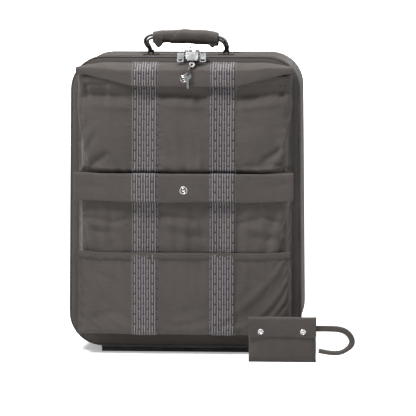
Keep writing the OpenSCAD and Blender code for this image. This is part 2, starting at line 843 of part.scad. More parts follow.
module pouch_flap() {
    y0 = pouch_face - 1.2 - flap_t;
    color(taupe) prism_x(pouch_x, pouch_x + pouch_w) polygon([
        [pouch_face + pouch_t, pouch_h - flap_t], [pouch_face + pouch_t, pouch_h], [y0 + 1, pouch_h],
        [y0, pouch_h - 1], [y0, pouch_h - pouch_flap_l], [y0 + flap_t, pouch_h - pouch_flap_l],
        [y0 + flap_t, pouch_h - flap_t]]);
}

module pouch_snap_caps() {
    color(silver) for (x = pouch_snap_x)
        translate([pouch_x + x, pouch_face - 1.2 - flap_t, pouch_snap_z]) rotate([90, 0, 0]) {
            cylinder(d = 9, h = 0.9);
            cylinder(d = 6, h = 1.5);
        }
}

module pouch_snap_studs() {
    color(silver) for (x = pouch_snap_x)
        translate([pouch_x + x, pouch_face, pouch_snap_z]) rotate([90, 0, 0]) cylinder(d = 4, h = 0.9);
}

module pouch_strap() {
    r = 18;
    x0 = pouch_x + pouch_w;
    x1 = x0 + 37;
    z0 = 16;
    mid = pouch_face + pouch_t / 2;
    color(taupe) prism_y(mid - 1.75, mid + 1.75) polygon(strip(
        concat([[x0, z0 + 2 * r]], arc(x1, z0 + r, r, 90, -90, 12), [[x0 + 3, z0 + 1.5]]),
        pouch_strap_w));
}

back_board();
rear_cover();
side_gusset_left();
side_gusset_right();
top_gusset();
base_gusset();
rear_piping();
lining();
zip_tape_case();
zip_teeth_case();
base_plate();
front_foot();
wheel_housings();
wheel_axles();
tube_outer();
handle_cup();
handle_anchors();
wheel_hub_left();
wheel_tyre_left();
wheel_hub_right();
wheel_tyre_right();
tube_middle();
tube_inner();
trolley_grip();
release_button();
handle_webbing();
handle_wrap();
front_panel();
lid_gusset();
front_piping();
zip_tape_lid();
zip_teeth_lid();
top_hood();
upper_pocket();
lower_pocket();
slip_pocket();
webbing_upper();
webbing_lower();
snap_studs();
top_flap();
webbing_top_flap();
top_snap_cap();
mid_flap();
webbing_mid_flap();
mid_snap_cap();
zip_slider_left();
zip_slider_right();
zip_pull_left();
zip_pull_right();
padlock_body();
padlock_shackle();
lock_key();
key_thong();
spare_key();
pouch_shell();
pouch_flap();
pouch_snap_caps();
pouch_snap_studs();
pouch_strap();
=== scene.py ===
# Soft cabin flight bag: cloth, webbing, zip and hardware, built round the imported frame.
import math

import bpy
import numpy as np
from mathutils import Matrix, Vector, noise


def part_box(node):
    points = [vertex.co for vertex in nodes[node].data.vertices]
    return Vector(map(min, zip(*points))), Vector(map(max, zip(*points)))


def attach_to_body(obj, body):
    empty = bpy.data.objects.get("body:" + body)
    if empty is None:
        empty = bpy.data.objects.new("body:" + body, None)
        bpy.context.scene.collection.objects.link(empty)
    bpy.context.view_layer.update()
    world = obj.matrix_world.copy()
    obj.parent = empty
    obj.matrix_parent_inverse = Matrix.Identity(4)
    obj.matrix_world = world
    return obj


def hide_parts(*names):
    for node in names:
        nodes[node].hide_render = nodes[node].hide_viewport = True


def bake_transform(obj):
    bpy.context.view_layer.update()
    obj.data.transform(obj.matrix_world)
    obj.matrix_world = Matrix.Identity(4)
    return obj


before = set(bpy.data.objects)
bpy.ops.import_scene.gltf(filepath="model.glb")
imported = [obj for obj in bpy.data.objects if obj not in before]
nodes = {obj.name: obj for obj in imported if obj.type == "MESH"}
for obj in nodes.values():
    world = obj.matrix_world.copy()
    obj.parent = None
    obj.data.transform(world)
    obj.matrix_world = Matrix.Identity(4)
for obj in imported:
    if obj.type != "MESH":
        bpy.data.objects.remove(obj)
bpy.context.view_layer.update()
scene = bpy.context.scene


# ---- small helpers ----

def newPiece(name, points, faces, material, smooth=True):
    mesh = bpy.data.meshes.new(name)
    mesh.from_pydata([tuple(p) for p in points], [], faces)
    if smooth:
        mesh.shade_smooth()
    mesh.materials.append(material)
    piece = bpy.data.objects.new(name, mesh)
    scene.collection.objects.link(piece)
    return piece


def gridFaces(rows, cols, loop=False):
    wide = cols if loop else cols - 1
    return [(r * cols + c, r * cols + (c + 1) % cols, (r + 1) * cols + (c + 1) % cols, (r + 1) * cols + c)
            for r in range(rows - 1) for c in range(wide)]


def gridPiece(name, grid, material, loop=False):
    rows, cols = len(grid), len(grid[0])
    return newPiece(name, [p for row in grid for p in row], gridFaces(rows, cols, loop), material)


def resample(path, spacing, closed=False):
    pts = [Vector(p) for p in path] + ([Vector(path[0])] if closed else [])
    steps = [0.0]
    for a, b in zip(pts, pts[1:]):
        steps.append(steps[-1] + (b - a).length)
    count = max(2, round(steps[-1] / spacing))
    found, k = [], 0
    for i in range(count if closed else count + 1):
        d = steps[-1] * i / count
        while k < len(pts) - 2 and steps[k + 1] < d:
            k += 1
        share = (d - steps[k]) / max(steps[k + 1] - steps[k], 1e-9)
        found.append(pts[k].lerp(pts[k + 1], min(share, 1)))
    return found


def sweepPiece(name, path, section, material, up=(0, 0, 1), closed=False):
    # section points are (sideways, upwards) offsets from the path
    pts = [Vector(p) for p in path]
    last, count, grid = len(pts) - 1, len(section), []
    for i, p in enumerate(pts):
        before = pts[i - 1] if i or closed else p
        after = pts[(i + 1) % len(pts)] if i < last or closed else p
        along = (after - before).normalized()
        top = Vector(up(p) if callable(up) else up)
        across = along.cross(top).normalized()
        top = across.cross(along)
        grid.append([p + across * a + top * b for a, b in section])
    if closed:
        grid.append(grid[0])
    faces = gridFaces(len(grid), count, loop=True)
    if closed:
        size = len(pts) * count
        faces = [tuple(v % size for v in f) for f in faces]
        grid.pop()
    else:
        faces += [tuple(range(count))[::-1], tuple(last * count + k for k in range(count))]
    return newPiece(name, [p for row in grid for p in row], faces, material)


def roundSection(radius, sides=10):
    return [(radius * math.cos(2 * math.pi * k / sides), radius * math.sin(2 * math.pi * k / sides))
            for k in range(sides)]


def flatSection(width, thick, bulge=0.0):
    # strap section: flat with rounded edges
    w, t = width / 2, thick / 2
    return [(-w, -t * 0.4), (-w + t, -t), (0, -t - bulge), (w - t, -t), (w, -t * 0.4), (w, t * 0.4),
            (w - t, t), (0, t + bulge), (-w + t, t), (-w, t * 0.4)]


def lathePiece(name, profile, centre, axis, material, sides=40):
    # profile points are (radius, height along the axis)
    axis = Vector(axis).normalized()
    side = axis.orthogonal().normalized()
    other = axis.cross(side)
    grid = []
    for radius, height in profile:
        ring = []
        for k in range(sides):
            turn = 2 * math.pi * k / sides
            ring.append(Vector(centre) + axis * height
                        + (side * math.cos(turn) + other * math.sin(turn)) * radius)
        grid.append(ring)
    ends = [tuple(range(sides))[::-1], tuple((len(grid) - 1) * sides + k for k in range(sides))]
    return newPiece(name, [p for row in grid for p in row], gridFaces(len(grid), sides, loop=True) + ends,
                    material)


def stitchPiece(name, runs, material, pitch=0.0042, length=0.003, radius=0.00035, facing=(0, -1, 0)):
    # runs are lists of points; each stitch is a short raised thread
    points, faces = [], []
    for run in runs:
        spots = resample(run, pitch)
        for a, b in zip(spots, spots[1:]):
            along = (b - a).normalized()
            out = Vector(facing(a) if callable(facing) else facing).normalized()
            across = along.cross(out).normalized()
            middle, base = (a + b) / 2, len(points)
            points += [middle - along * length / 2, middle + along * length / 2,
                       middle + across * radius, middle + out * radius * 1.6,
                       middle - across * radius, middle - out * radius]
            faces += [(base, base + 2 + k, base + 2 + (k + 1) % 4) for k in range(4)]
            faces += [(base + 1, base + 2 + (k + 1) % 4, base + 2 + k) for k in range(4)]
    return newPiece(name, points, faces, material, smooth=False)


def addModifier(piece, kind, **values):
    modifier = piece.modifiers.new(kind.lower(), kind)
    for key, value in values.items():
        setattr(modifier, key, value)
    return modifier


def freeze(piece):
    # applies every modifier to the mesh
    graph = bpy.context.evaluated_depsgraph_get()
    mesh = bpy.data.meshes.new_from_object(piece.evaluated_get(graph))
    piece.modifiers.clear()
    piece.data = mesh
    return piece


def cutBoxes(piece, boxes):
    points, faces = [], []
    for x0, x1, y0, y1, z0, z1 in boxes:
        base = len(points)
        points += [(x, y, z) for x in (x0, x1) for y in (y0, y1) for z in (z0, z1)]
        faces += [tuple(base + k for k in f) for f in
                  ((0, 1, 3, 2), (4, 6, 7, 5), (0, 4, 5, 1), (2, 3, 7, 6), (0, 2, 6, 4), (1, 5, 7, 3))]
    cutter = newPiece("cutter", points, faces, piece.data.materials[0], smooth=False)
    addModifier(piece, "BOOLEAN", operation="DIFFERENCE", object=cutter, solver="EXACT", use_self=True)
    freeze(piece)
    bpy.data.objects.remove(cutter)
    return piece


def smoothStep(a, b, x):
    t = min(max((x - a) / (b - a), 0.0), 1.0)
    return t * t * (3 - 2 * t)


def ripple(p, size, seed=0.0):
    # soft noise from -1 to 1, features about size metres across
    return noise.noise(Vector(p) / size + Vector((seed, seed * 0.7, 3.1)))


def crease(x, z, line):
    # a fold along a short line: (x0, z0, x1, z1, depth, width); above 0 inside the fold
    x0, z0, x1, z1, depth, width = line
    dx, dz = x1 - x0, z1 - z0
    size = dx * dx + dz * dz
    t = ((x - x0) * dx + (z - z0) * dz) / size
    away = abs((x - x0) * dz - (z - z0) * dx) / math.sqrt(size)
    ends = smoothStep(-0.15, 0.25, t) * (1 - smoothStep(0.75, 1.15, t))
    return depth * ends * math.exp(-(away / width) ** 2)


def attach(piece, body, slot, *stands):
    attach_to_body(piece, body)
    if stands:
        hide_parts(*stands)
    return piece


# ---- shader parts ----

def addNode(tree, kind, inputs=None, **settings):
    node = tree.nodes.new("ShaderNode" + kind)
    for key, value in settings.items():
        setattr(node, key, value)
    for key, value in (inputs or {}).items():
        if isinstance(value, bpy.types.NodeSocket):
            tree.links.new(value, node.inputs[key])
        else:
            node.inputs[key].default_value = value
    return node


def calc(tree, operation, *values, clamp=False):
    node = tree.nodes.new("ShaderNodeMath")
    node.operation = operation
    node.use_clamp = clamp
    for socket, value in zip(node.inputs, values):
        if isinstance(value, bpy.types.NodeSocket):
            tree.links.new(value, socket)
        else:
            socket.default_value = value
    return node.outputs[0]


def blendColour(tree, factor, first, second, mode="MIX"):
    node = addNode(tree, "Mix", data_type="RGBA", blend_type=mode)
    for key, value in (("Factor", factor), (6, first), (7, second)):
        socket = node.inputs[key]
        if isinstance(value, bpy.types.NodeSocket):
            tree.links.new(value, socket)
        else:
            socket.default_value = value
    return node.outputs[2]


def newGroup(name, inputs, outputs):
    group = bpy.data.node_groups.new(name, "ShaderNodeTree")
    for title, value in inputs.items():
        socket = group.interface.new_socket(title, in_out="INPUT", socket_type="NodeSocketFloat")
        socket.default_value = value
    for title in outputs:
        group.interface.new_socket(title, in_out="OUTPUT", socket_type="NodeSocketFloat")
    return group, group.nodes.new("NodeGroupInput").outputs, group.nodes.new("NodeGroupOutput").inputs


def makeWeave():
    # threads over and under each other, laid flat on whichever way the cloth faces
    tree, given, result = newGroup("clothWeave", {"Pitch": 0.0012}, ["Height", "Tone"])
    place = addNode(tree, "TexCoord").outputs
    x, y, z = addNode(tree, "SeparateXYZ", {0: place["Object"]}).outputs
    facing = addNode(tree, "SeparateXYZ", {0: place["Normal"]}).outputs
    flat = calc(tree, "GREATER_THAN", calc(tree, "ABSOLUTE", facing[2]), 0.7)
    upright = calc(tree, "SUBTRACT", 1.0, flat)
    across = calc(tree, "ADD", x, calc(tree, "MULTIPLY", y, upright))
    along = calc(tree, "ADD", calc(tree, "MULTIPLY", z, upright), calc(tree, "MULTIPLY", y, flat))
    turn = calc(tree, "DIVIDE", 2 * math.pi, given["Pitch"])
    threads = calc(tree, "MULTIPLY", calc(tree, "SINE", calc(tree, "MULTIPLY", across, turn)),
                   calc(tree, "SINE", calc(tree, "MULTIPLY", along, turn)))
    tree.links.new(calc(tree, "MULTIPLY_ADD", threads, 0.5, 0.5), result["Height"])
    spun = addNode(tree, "CombineXYZ", {0: calc(tree, "MULTIPLY", across, 70.0),
                                           1: calc(tree, "MULTIPLY", along, 520.0)})
    slub = addNode(tree, "TexNoise", {"Vector": spun.outputs[0], "Scale": 1.0, "Detail": 2.0})
    tree.links.new(slub.outputs[0], result["Tone"])
    return tree


def makeGrain():
    tree, given, result = newGroup("fineGrain", {"Scale": 900.0}, ["Height", "Tone"])
    place = addNode(tree, "TexCoord").outputs["Object"]
    cells = addNode(tree, "TexVoronoi", {"Vector": place, "Scale": given["Scale"]})
    cloud = addNode(tree, "TexNoise", {"Vector": place, "Scale": calc(tree, "MULTIPLY", given["Scale"], 0.35),
                                       "Detail": 3.0})
    tree.links.new(calc(tree, "MULTIPLY", cells.outputs[0], cloud.outputs[0]), result["Height"])
    tree.links.new(cloud.outputs[0], result["Tone"])
    return tree


def makeDust():
    # pale dust, more on what faces up and near the floor
    tree, given, result = newGroup("settledDust", {"Amount": 0.3}, ["Mask"])
    place = addNode(tree, "TexCoord").outputs
    up = addNode(tree, "SeparateXYZ", {0: place["Normal"]}).outputs[2]
    low = addNode(tree, "SeparateXYZ", {0: place["Object"]}).outputs[2]
    cloud = addNode(tree, "TexNoise", {"Vector": place["Object"], "Scale": 28.0, "Detail": 5.0,
                                       "Roughness": 0.65}).outputs[0]
    patch = calc(tree, "SUBTRACT", calc(tree, "MULTIPLY", cloud, 2.4), 0.85, clamp=True)
    lift = calc(tree, "MULTIPLY_ADD", up, 0.4, 0.35, clamp=True)
    foot = calc(tree, "MULTIPLY_ADD", low, -6.0, 0.5, clamp=True)
    both = calc(tree, "MULTIPLY", patch, calc(tree, "ADD", lift, foot))
    tree.links.new(calc(tree, "MULTIPLY", both, given["Amount"], clamp=True), result["Mask"])
    return tree


def makeEdgeWear():
    # bright where corners and rims rub
    tree, given, result = newGroup("edgeWear", {"Amount": 0.5}, ["Mask"])
    sharp = addNode(tree, "NewGeometry").outputs["Pointiness"]
    place = addNode(tree, "TexCoord").outputs["Object"]
    cloud = addNode(tree, "TexNoise", {"Vector": place, "Scale": 160.0, "Detail": 4.0}).outputs[0]
    rim = calc(tree, "MULTIPLY", calc(tree, "SUBTRACT", sharp, 0.53), 9.0, clamp=True)
    tree.links.new(calc(tree, "MULTIPLY", calc(tree, "MULTIPLY", rim, cloud), given["Amount"], clamp=True),
                   result["Mask"])
    return tree


shared = {"weave": makeWeave(), "grain": makeGrain(), "dust": makeDust(), "wear": makeEdgeWear()}


def useGroup(tree, name, **values):
    node = addNode(tree, "Group", node_tree=shared[name])
    for key, value in values.items():
        node.inputs[key.capitalize()].default_value = value
    return node.outputs


def newMaterial(name):
    material = bpy.data.materials.new(name)
    material.use_nodes = True
    tree = material.node_tree
    return material, tree, tree.nodes["Principled BSDF"]


def setShader(shader, **values):
    for key, value in values.items():
        shader.inputs[key.replace("_", " ")].default_value = value


def tint(colour, factor):
    return tuple(c * factor for c in colour[:3]) + (1.0,)


def bumpNormal(tree, height, distance, strength=1.0, under=None):
    node = addNode(tree, "Bump", {"Height": height, "Distance": distance, "Strength": strength})
    if under:
        tree.links.new(under, node.inputs["Normal"])
    return node.outputs[0]


def clothMaterial(name, colour, pitch, depth, rough=0.86, sheen=0.16, contrast=0.5, dust=0.25):
    material, tree, shader = newMaterial(name)
    weave = useGroup(tree, "weave", pitch=pitch)
    place = addNode(tree, "TexCoord").outputs["Object"]
    cloud = addNode(tree, "TexNoise", {"Vector": place, "Scale": 14.0, "Detail": 4.0}).outputs[0]
    tone = calc(tree, "MULTIPLY_ADD", weave["Tone"], 0.6, calc(tree, "MULTIPLY", cloud, 0.4))
    tone = calc(tree, "MULTIPLY_ADD", weave["Height"], 0.25, calc(tree, "MULTIPLY", tone, 0.75))
    worn = blendColour(tree, tone, tint(colour, 1 - contrast), tint(colour, 1 + contrast))
    pale = blendColour(tree, useGroup(tree, "dust", amount=dust)["Mask"], worn, tint(colour, 2.2))
    tree.links.new(pale, shader.inputs["Base Color"])
    tree.links.new(calc(tree, "MULTIPLY_ADD", tone, 0.16, rough - 0.08), shader.inputs["Roughness"])
    coarse = addNode(tree, "TexNoise", {"Vector": place, "Scale": 120.0, "Detail": 3.0}).outputs[0]
    soft = bumpNormal(tree, coarse, 0.0012, 0.5)
    tree.links.new(bumpNormal(tree, weave["Height"], depth, 0.8, soft), shader.inputs["Normal"])
    setShader(shader, Sheen_Weight=sheen, Sheen_Roughness=0.45, Specular_IOR_Level=0.35)
    return material


def plasticMaterial(name, colour, rough, grainScale, grainDepth, wear=0.4, dust=0.2):
    material, tree, shader = newMaterial(name)
    grain = useGroup(tree, "grain", scale=grainScale)
    base = blendColour(tree, grain["Tone"], tint(colour, 0.8), tint(colour, 1.25))
    worn = blendColour(tree, useGroup(tree, "wear", amount=wear)["Mask"], base, tint(colour, 3.0))
    dusty = blendColour(tree, useGroup(tree, "dust", amount=dust)["Mask"], worn, (0.3, 0.28, 0.26, 1))
    tree.links.new(dusty, shader.inputs["Base Color"])
    tree.links.new(calc(tree, "MULTIPLY_ADD", grain["Tone"], 0.2, rough - 0.1), shader.inputs["Roughness"])
    tree.links.new(bumpNormal(tree, grain["Height"], grainDepth), shader.inputs["Normal"])
    return material


def metalMaterial(name, colour, rough, streak=(40.0, 40.0, 900.0)):
    material, tree, shader = newMaterial(name)
    place = addNode(tree, "TexCoord").outputs["Object"]
    drawn = addNode(tree, "Mapping", {"Vector": place, "Scale": streak}).outputs[0]
    lines = addNode(tree, "TexNoise", {"Vector": drawn, "Scale": 1.0, "Detail": 3.0}).outputs[0]
    smears = addNode(tree, "TexNoise", {"Vector": place, "Scale": 90.0, "Detail": 4.0}).outputs[0]
    wear = useGroup(tree, "wear", amount=0.5)["Mask"]
    tree.links.new(blendColour(tree, calc(tree, "MULTIPLY_ADD", smears, 0.5, wear, clamp=True),
                               tint(colour, 0.86), tint(colour, 1.08)), shader.inputs["Base Color"])
    tree.links.new(calc(tree, "MULTIPLY_ADD", calc(tree, "MULTIPLY", lines, smears), 0.35, rough - 0.06),
                   shader.inputs["Roughness"])
    tree.links.new(bumpNormal(tree, lines, 0.00004, 0.6), shader.inputs["Normal"])
    setShader(shader, Metallic=1.0)
    return material


def bandMaterial(name, values):
    # woven band: light warp lines on near black, with staggered small lozenges
    material, tree, shader = newMaterial(name)
    place = addNode(tree, "TexCoord").outputs["Object"]
    x, y, z = addNode(tree, "SeparateXYZ", {0: place}).outputs
    across = calc(tree, "ABSOLUTE", calc(tree, "SUBTRACT", calc(tree, "ABSOLUTE", x), values["middle"]))
    turn = 2 * math.pi / values["linePitch"]
    line = calc(tree, "MULTIPLY_ADD", calc(tree, "COSINE", calc(tree, "MULTIPLY", across, turn)), 0.5, 0.5)
    line = calc(tree, "POWER", line, values["lineSharp"])
    weft = calc(tree, "SINE", calc(tree, "MULTIPLY", z, 2 * math.pi / values["weft"]))
    rib = calc(tree, "MULTIPLY_ADD", weft, 0.5, 0.5)

    def lozenges(shift, raise_):
        # one set of diamonds, shifted by half a repeat when shift is 0.5
        u = calc(tree, "FRACT", calc(tree, "MULTIPLY_ADD", x, 1 / values["column"], shift + 0.5))
        v = calc(tree, "FRACT", calc(tree, "MULTIPLY_ADD", z, 1 / (2 * values["row"]), shift + raise_))
        du = calc(tree, "DIVIDE", calc(tree, "ABSOLUTE", calc(tree, "SUBTRACT", u, 0.5)),
                  values["markWide"] / values["column"])
        dv = calc(tree, "DIVIDE", calc(tree, "ABSOLUTE", calc(tree, "SUBTRACT", v, 0.5)),
                  values["markHigh"] / (2 * values["row"]))
        return calc(tree, "SUBTRACT", 1.5, calc(tree, "ADD", du, dv), clamp=True)

    lift = values["markHigh"] * 1.4 / (2 * values["row"])
    darkMark = calc(tree, "MAXIMUM", lozenges(0.0, 0.0), lozenges(0.5, 0.0))
    lightMark = calc(tree, "MAXIMUM", lozenges(0.0, lift), lozenges(0.5, lift))
    light = calc(tree, "MAXIMUM", line, calc(tree, "MULTIPLY", lightMark, 0.22))
    light = calc(tree, "MULTIPLY", light, calc(tree, "SUBTRACT", 1.0, darkMark))
    thread = calc(tree, "MULTIPLY", light, calc(tree, "MULTIPLY_ADD", rib, 0.35, 0.65))
    slub = useGroup(tree, "weave", pitch=0.0014)
    ground = blendColour(tree, slub["Tone"], values["dark"], tint(values["dark"], 2.2))
    tree.links.new(blendColour(tree, thread, ground, values["light"]), shader.inputs["Base Color"])
    tree.links.new(calc(tree, "MULTIPLY_ADD", light, -0.15, 0.72), shader.inputs["Roughness"])
    height = calc(tree, "MULTIPLY_ADD", rib, 0.5, light)
    tree.links.new(bumpNormal(tree, height, 0.00015, 0.7), shader.inputs["Normal"])
    setShader(shader, Sheen_Weight=0.2, Sheen_Roughness=0.5)
    return material


taupe = (0.057, 0.049, 0.044, 1)
cloth = clothMaterial("taupeCloth", taupe, 0.0012, 0.00025)
trim = clothMaterial("pipingCord", (0.042, 0.038, 0.036, 1), 0.0009, 0.0002, rough=0.6, sheen=0.25)
liningCloth = clothMaterial("liningCloth", (0.03, 0.03, 0.032, 1), 0.0008, 0.0001, rough=0.55, sheen=0.5)
strapCloth = clothMaterial("darkStrap", (0.040, 0.036, 0.034, 1), 0.0016, 0.0004, rough=0.66, sheen=0.2)
thread = clothMaterial("stitchThread", tint(taupe, 0.75), 0.0006, 0.0001, rough=0.6)
band = bandMaterial("patternBand", {
    "middle": 0.061, "linePitch": 0.0040, "lineSharp": 5.0, "column": 0.0140, "row": 0.0080, "weft": 0.0014,
    "markWide": 0.0025, "markHigh": 0.0020, "dark": (0.012, 0.011, 0.012, 1), "light": (0.30, 0.26, 0.27, 1)})
plastic = plasticMaterial("blackPlastic", (0.018, 0.018, 0.018), 0.42, 1500.0, 0.00008)
rubber = plasticMaterial("softRubber", (0.016, 0.016, 0.016), 0.6, 2400.0, 0.00005, wear=0.2)
tyreRubber = plasticMaterial("tyreRubber", (0.02, 0.02, 0.02), 0.7, 1200.0, 0.0001, wear=0.3, dust=0.7)
zipNylon = plasticMaterial("zipNylon", (0.02, 0.02, 0.021), 0.38, 1800.0, 0.00003, wear=0.3)
leather = plasticMaterial("thongLeather", (0.035, 0.02, 0.012), 0.5, 700.0, 0.00015, wear=0.5)
chrome = metalMaterial("brightChrome", (0.66, 0.66, 0.67), 0.17)
alloy = metalMaterial("drawnAlloy", (0.62, 0.63, 0.65), 0.3, streak=(600.0, 600.0, 12.0))
print("materials ready")


# ---- case ----

case = {"topHalf": 0.1775, "corner": 0.05, "arcSteps": 14, "spacing": 0.008, "sag": 0.0022, "wrinkle": 0.0009,
        "wheelX": 0.117, "rows": 17}
frontLow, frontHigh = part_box("front_panel")
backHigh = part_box("rear_cover")[1]
boardLow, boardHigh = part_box("back_board")
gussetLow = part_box("top_gusset")[0]
teethLow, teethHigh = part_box("zip_teeth_lid")
panelY, backY, boardY, wallY = frontLow.y, backHigh.y, boardLow.y, gussetLow.y
zipY = teethHigh.y
footZ, topZ = frontLow.z, frontHigh.z
halfWidth = frontHigh.x
middleZ = (footZ + topZ) / 2
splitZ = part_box("zip_teeth_lid")[0].z


def caseOutline():
    # front outline at equal steps: points and outward directions, clockwise from the top left
    low, high, r = halfWidth, case["topHalf"], case["corner"]
    pts = []
    for cx, cz, first in ((-(high - r), topZ - r, 90), (-(low - r), footZ + r, 180),
                          (low - r, footZ + r, 270), (high - r, topZ - r, 0)):
        for k in range(case["arcSteps"] + 1):
            a = math.radians(first + 90 * k / case["arcSteps"])
            pts.append(Vector((cx + r * math.cos(a), 0, cz + r * math.sin(a))))
    pts = resample(pts, case["spacing"], closed=True)
    outward = []
    for i, p in enumerate(pts):
        along = (pts[(i + 1) % len(pts)] - pts[i - 1]).normalized()
        outward.append(Vector((along.z, 0, -along.x)))
    if outward[0].z < 0:
        outward = [-n for n in outward]
    return pts, outward


rim, rimOut = caseOutline()


def rimRow(y, out=0.0, soft=None):
    row = []
    for p, n in zip(rim, rimOut):
        spot = Vector((p.x, y, p.z))
        row.append(spot + n * (out + (soft(spot) if soft else 0.0)))
    return row


def wallSoft(p):
    # the padded wall draws in a little between its two seams and creases softly
    share = (p.y - wallY) / (backY - wallY)
    belly = math.sin(math.pi * min(max(share, 0), 1))
    keep = 0.15 if p.z < footZ + 0.004 else 1.0
    return -belly * keep * (case["sag"] + case["wrinkle"] * (ripple(p, 0.05) + 0.6 * ripple(p, 0.022, 5)))


def wheelCut(room):
    low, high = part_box("wheel_housings")
    half = high.x - case["wheelX"] + room
    return [(side * case["wheelX"] - half, side * case["wheelX"] + half, low.y - room, backY + 0.02, -0.01,
             high.z + room) for side in (-1, 1)]


def buildCase():
    cupLow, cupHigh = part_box("handle_cup")
    cupHalf = cupHigh.x - 0.005
    rows = case["rows"]
    grid = [rimRow(wallY + (boardHigh.y - wallY) * r / (rows - 1), 0, wallSoft) for r in range(rows)]
    shell = gridPiece("caseShell", grid, cloth, loop=True)
    addModifier(shell, "SOLIDIFY", thickness=0.0026, offset=-1)
    freeze(shell)
    cutBoxes(shell, wheelCut(0.0002)
             + [(-cupHalf, cupHalf, cupLow.y + 0.0038, backY + 0.01, cupLow.z - 0.0002, topZ + 0.01)])
    attach(shell, "case", "cloth", "side_gusset_left", "side_gusset_right", "top_gusset", "base_gusset")

    # seams where the side walls meet the top and base, on both faces
    runs = []
    for side in (-1, 1):
        for z in (splitZ + 0.004, topZ - 0.064):
            for lift in (-0.0025, 0.0025):
                spots = [(i, p) for i, p in enumerate(rim) if p.x * side > 0]
                i = min(spots, key=lambda s: abs(s[1].z - z - lift))[0]
                run = []
                for y in np.linspace(wallY + 0.006, backY - 0.006, 24):
                    proud = 0.0004 + wallSoft(Vector((rim[i].x, y, z)))
                    run.append(Vector((rim[i].x, y, z + lift)) + rimOut[i] * proud)
                runs.append(run)
    seams = stitchPiece("sideSeamStitches", runs, thread, facing=lambda p: (1 if p.x > 0 else -1, 0, 0))
    attach(seams, "case", "webbing")


def buildLining():
    low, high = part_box("lining")
    depth = 0.0012
    grid = [rimRow(y, -0.0036 - depth * (1 + ripple((0, y, 0), 0.03)))
            for y in np.linspace(wallY + 0.001, high.y, 12)]
    grid += [[Vector((p.x * t, high.y - 0.0012 * (1 + ripple((p.x * t, 0, p.z * t), 0.06)),
                      middleZ + (p.z - middleZ) * t)) for p in grid[11]]
             for t in (0.97, 0.9, 0.8, 0.65, 0.5, 0.35, 0.2, 0.08, 0.01)]
    piece = gridPiece("caseLining", grid, liningCloth, loop=True)
    addModifier(piece, "SOLIDIFY", thickness=0.0006)
    freeze(piece)
    cupLow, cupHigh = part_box("handle_cup")
    cupSpace = (-cupHigh.x, cupHigh.x, cupLow.y - 0.001, backY, cupLow.z - 0.001, topZ)
    cutBoxes(piece, wheelCut(0.0012) + [cupSpace])
    attach(piece, "case", "lining", "lining")
    # two crossed packing straps on the lining's floor
    for side, word in ((-1, "Left"), (1, "Right")):
        path = [(side * (0.15 - 0.12 * t), high.y - 0.004 - 0.004 * math.sin(math.pi * t), 0.10 + 0.15 * t)
                for t in (k / 16 for k in range(17))]
        strap = sweepPiece("packingStrap" + word, path, flatSection(0.025, 0.0012), strapCloth, up=(0, -1, 0))
        attach(strap, "case", "webbing")


def buildBack():
    # back cover: padded cloth, quilted down the two tubes, with a ribbed kick guard at the foot
    cover = {"proud": 0.0012, "rings": 26}
    grid = []
    for r in range(cover["rings"]):
        t = max(1 - r / (cover["rings"] - 1), 0.0008)
        row = []
        for p in rimRow(0.0, -0.0002):
            x, z = p.x * t, middleZ + (p.z - middleZ) * t
            ridge = math.exp(-((abs(x) - 0.052) / 0.012) ** 2) * smoothStep(0.03, 0.08, z)
            edge = smoothStep(0.0, 0.08, 1 - t)
            y = backY - 0.0016 + cover["proud"] * edge * (0.5 + ridge + 0.35 * ripple((x, 0, z), 0.045))
            row.append(Vector((x, y, z)))
        grid.append(row)
    grid.insert(0, [Vector((p.x, boardY + 0.003, p.z)) for p in grid[0]])
    piece = gridPiece("backCover", grid, cloth, loop=True)
    addModifier(piece, "SOLIDIFY", thickness=0.0012, offset=-1)
    freeze(piece)
    cutBoxes(piece, wheelCut(0.0004))
    attach(piece, "case", "cloth", "rear_cover")
    guard = {"half": 0.098, "top": 0.062, "bottom": 0.016}
    rows = []
    for z in np.linspace(guard["bottom"], guard["top"], 8):
        rib = 0.0005 * (guard["bottom"] + 0.004 < z < guard["top"] - 0.004)
        rows.append([Vector((x, backY + 0.0016 + rib * math.cos(x * 420), z))
                     for x in np.linspace(-guard["half"], guard["half"], 60)])
    kick = gridPiece("kickGuard", rows, plastic)
    addModifier(kick, "SOLIDIFY", thickness=0.0016, offset=1)
    addModifier(kick, "BEVEL", width=0.0005, segments=2, limit_method="ANGLE")
    attach(freeze(kick), "case", "black_plastic")
    runs = [[Vector((s * x, backY + 0.0022, z)) for z in np.linspace(0.08, topZ - 0.04, 60)]
            for s in (-1, 1) for x in (0.036, 0.068)]
    attach(stitchPiece("backQuilting", runs, thread, facing=(0, 1, 0)), "case", "webbing")


def buildPiping(name, y, body, stands, cuts=()):
    # cord wrapped in cloth, with a row of stitches beside it
    cord = {"radius": 0.0018, "out": 0.0006}
    path = rimRow(y, cord["out"])
    flange = 0.0012 if y < 0 else -0.0012
    piece = sweepPiece(name, path, roundSection(cord["radius"], 12), trim, up=(0, -1, 0), closed=True)
    if cuts:
        cutBoxes(piece, cuts)
    attach(piece, body, "piping", stands)
    rows = stitchPiece(name + "Stitches", [rimRow(y + flange * 3.4, 0.0002)], thread,
                       facing=lambda p: (p.x, 0, p.z - middleZ))
    attach(rows, body, "webbing")


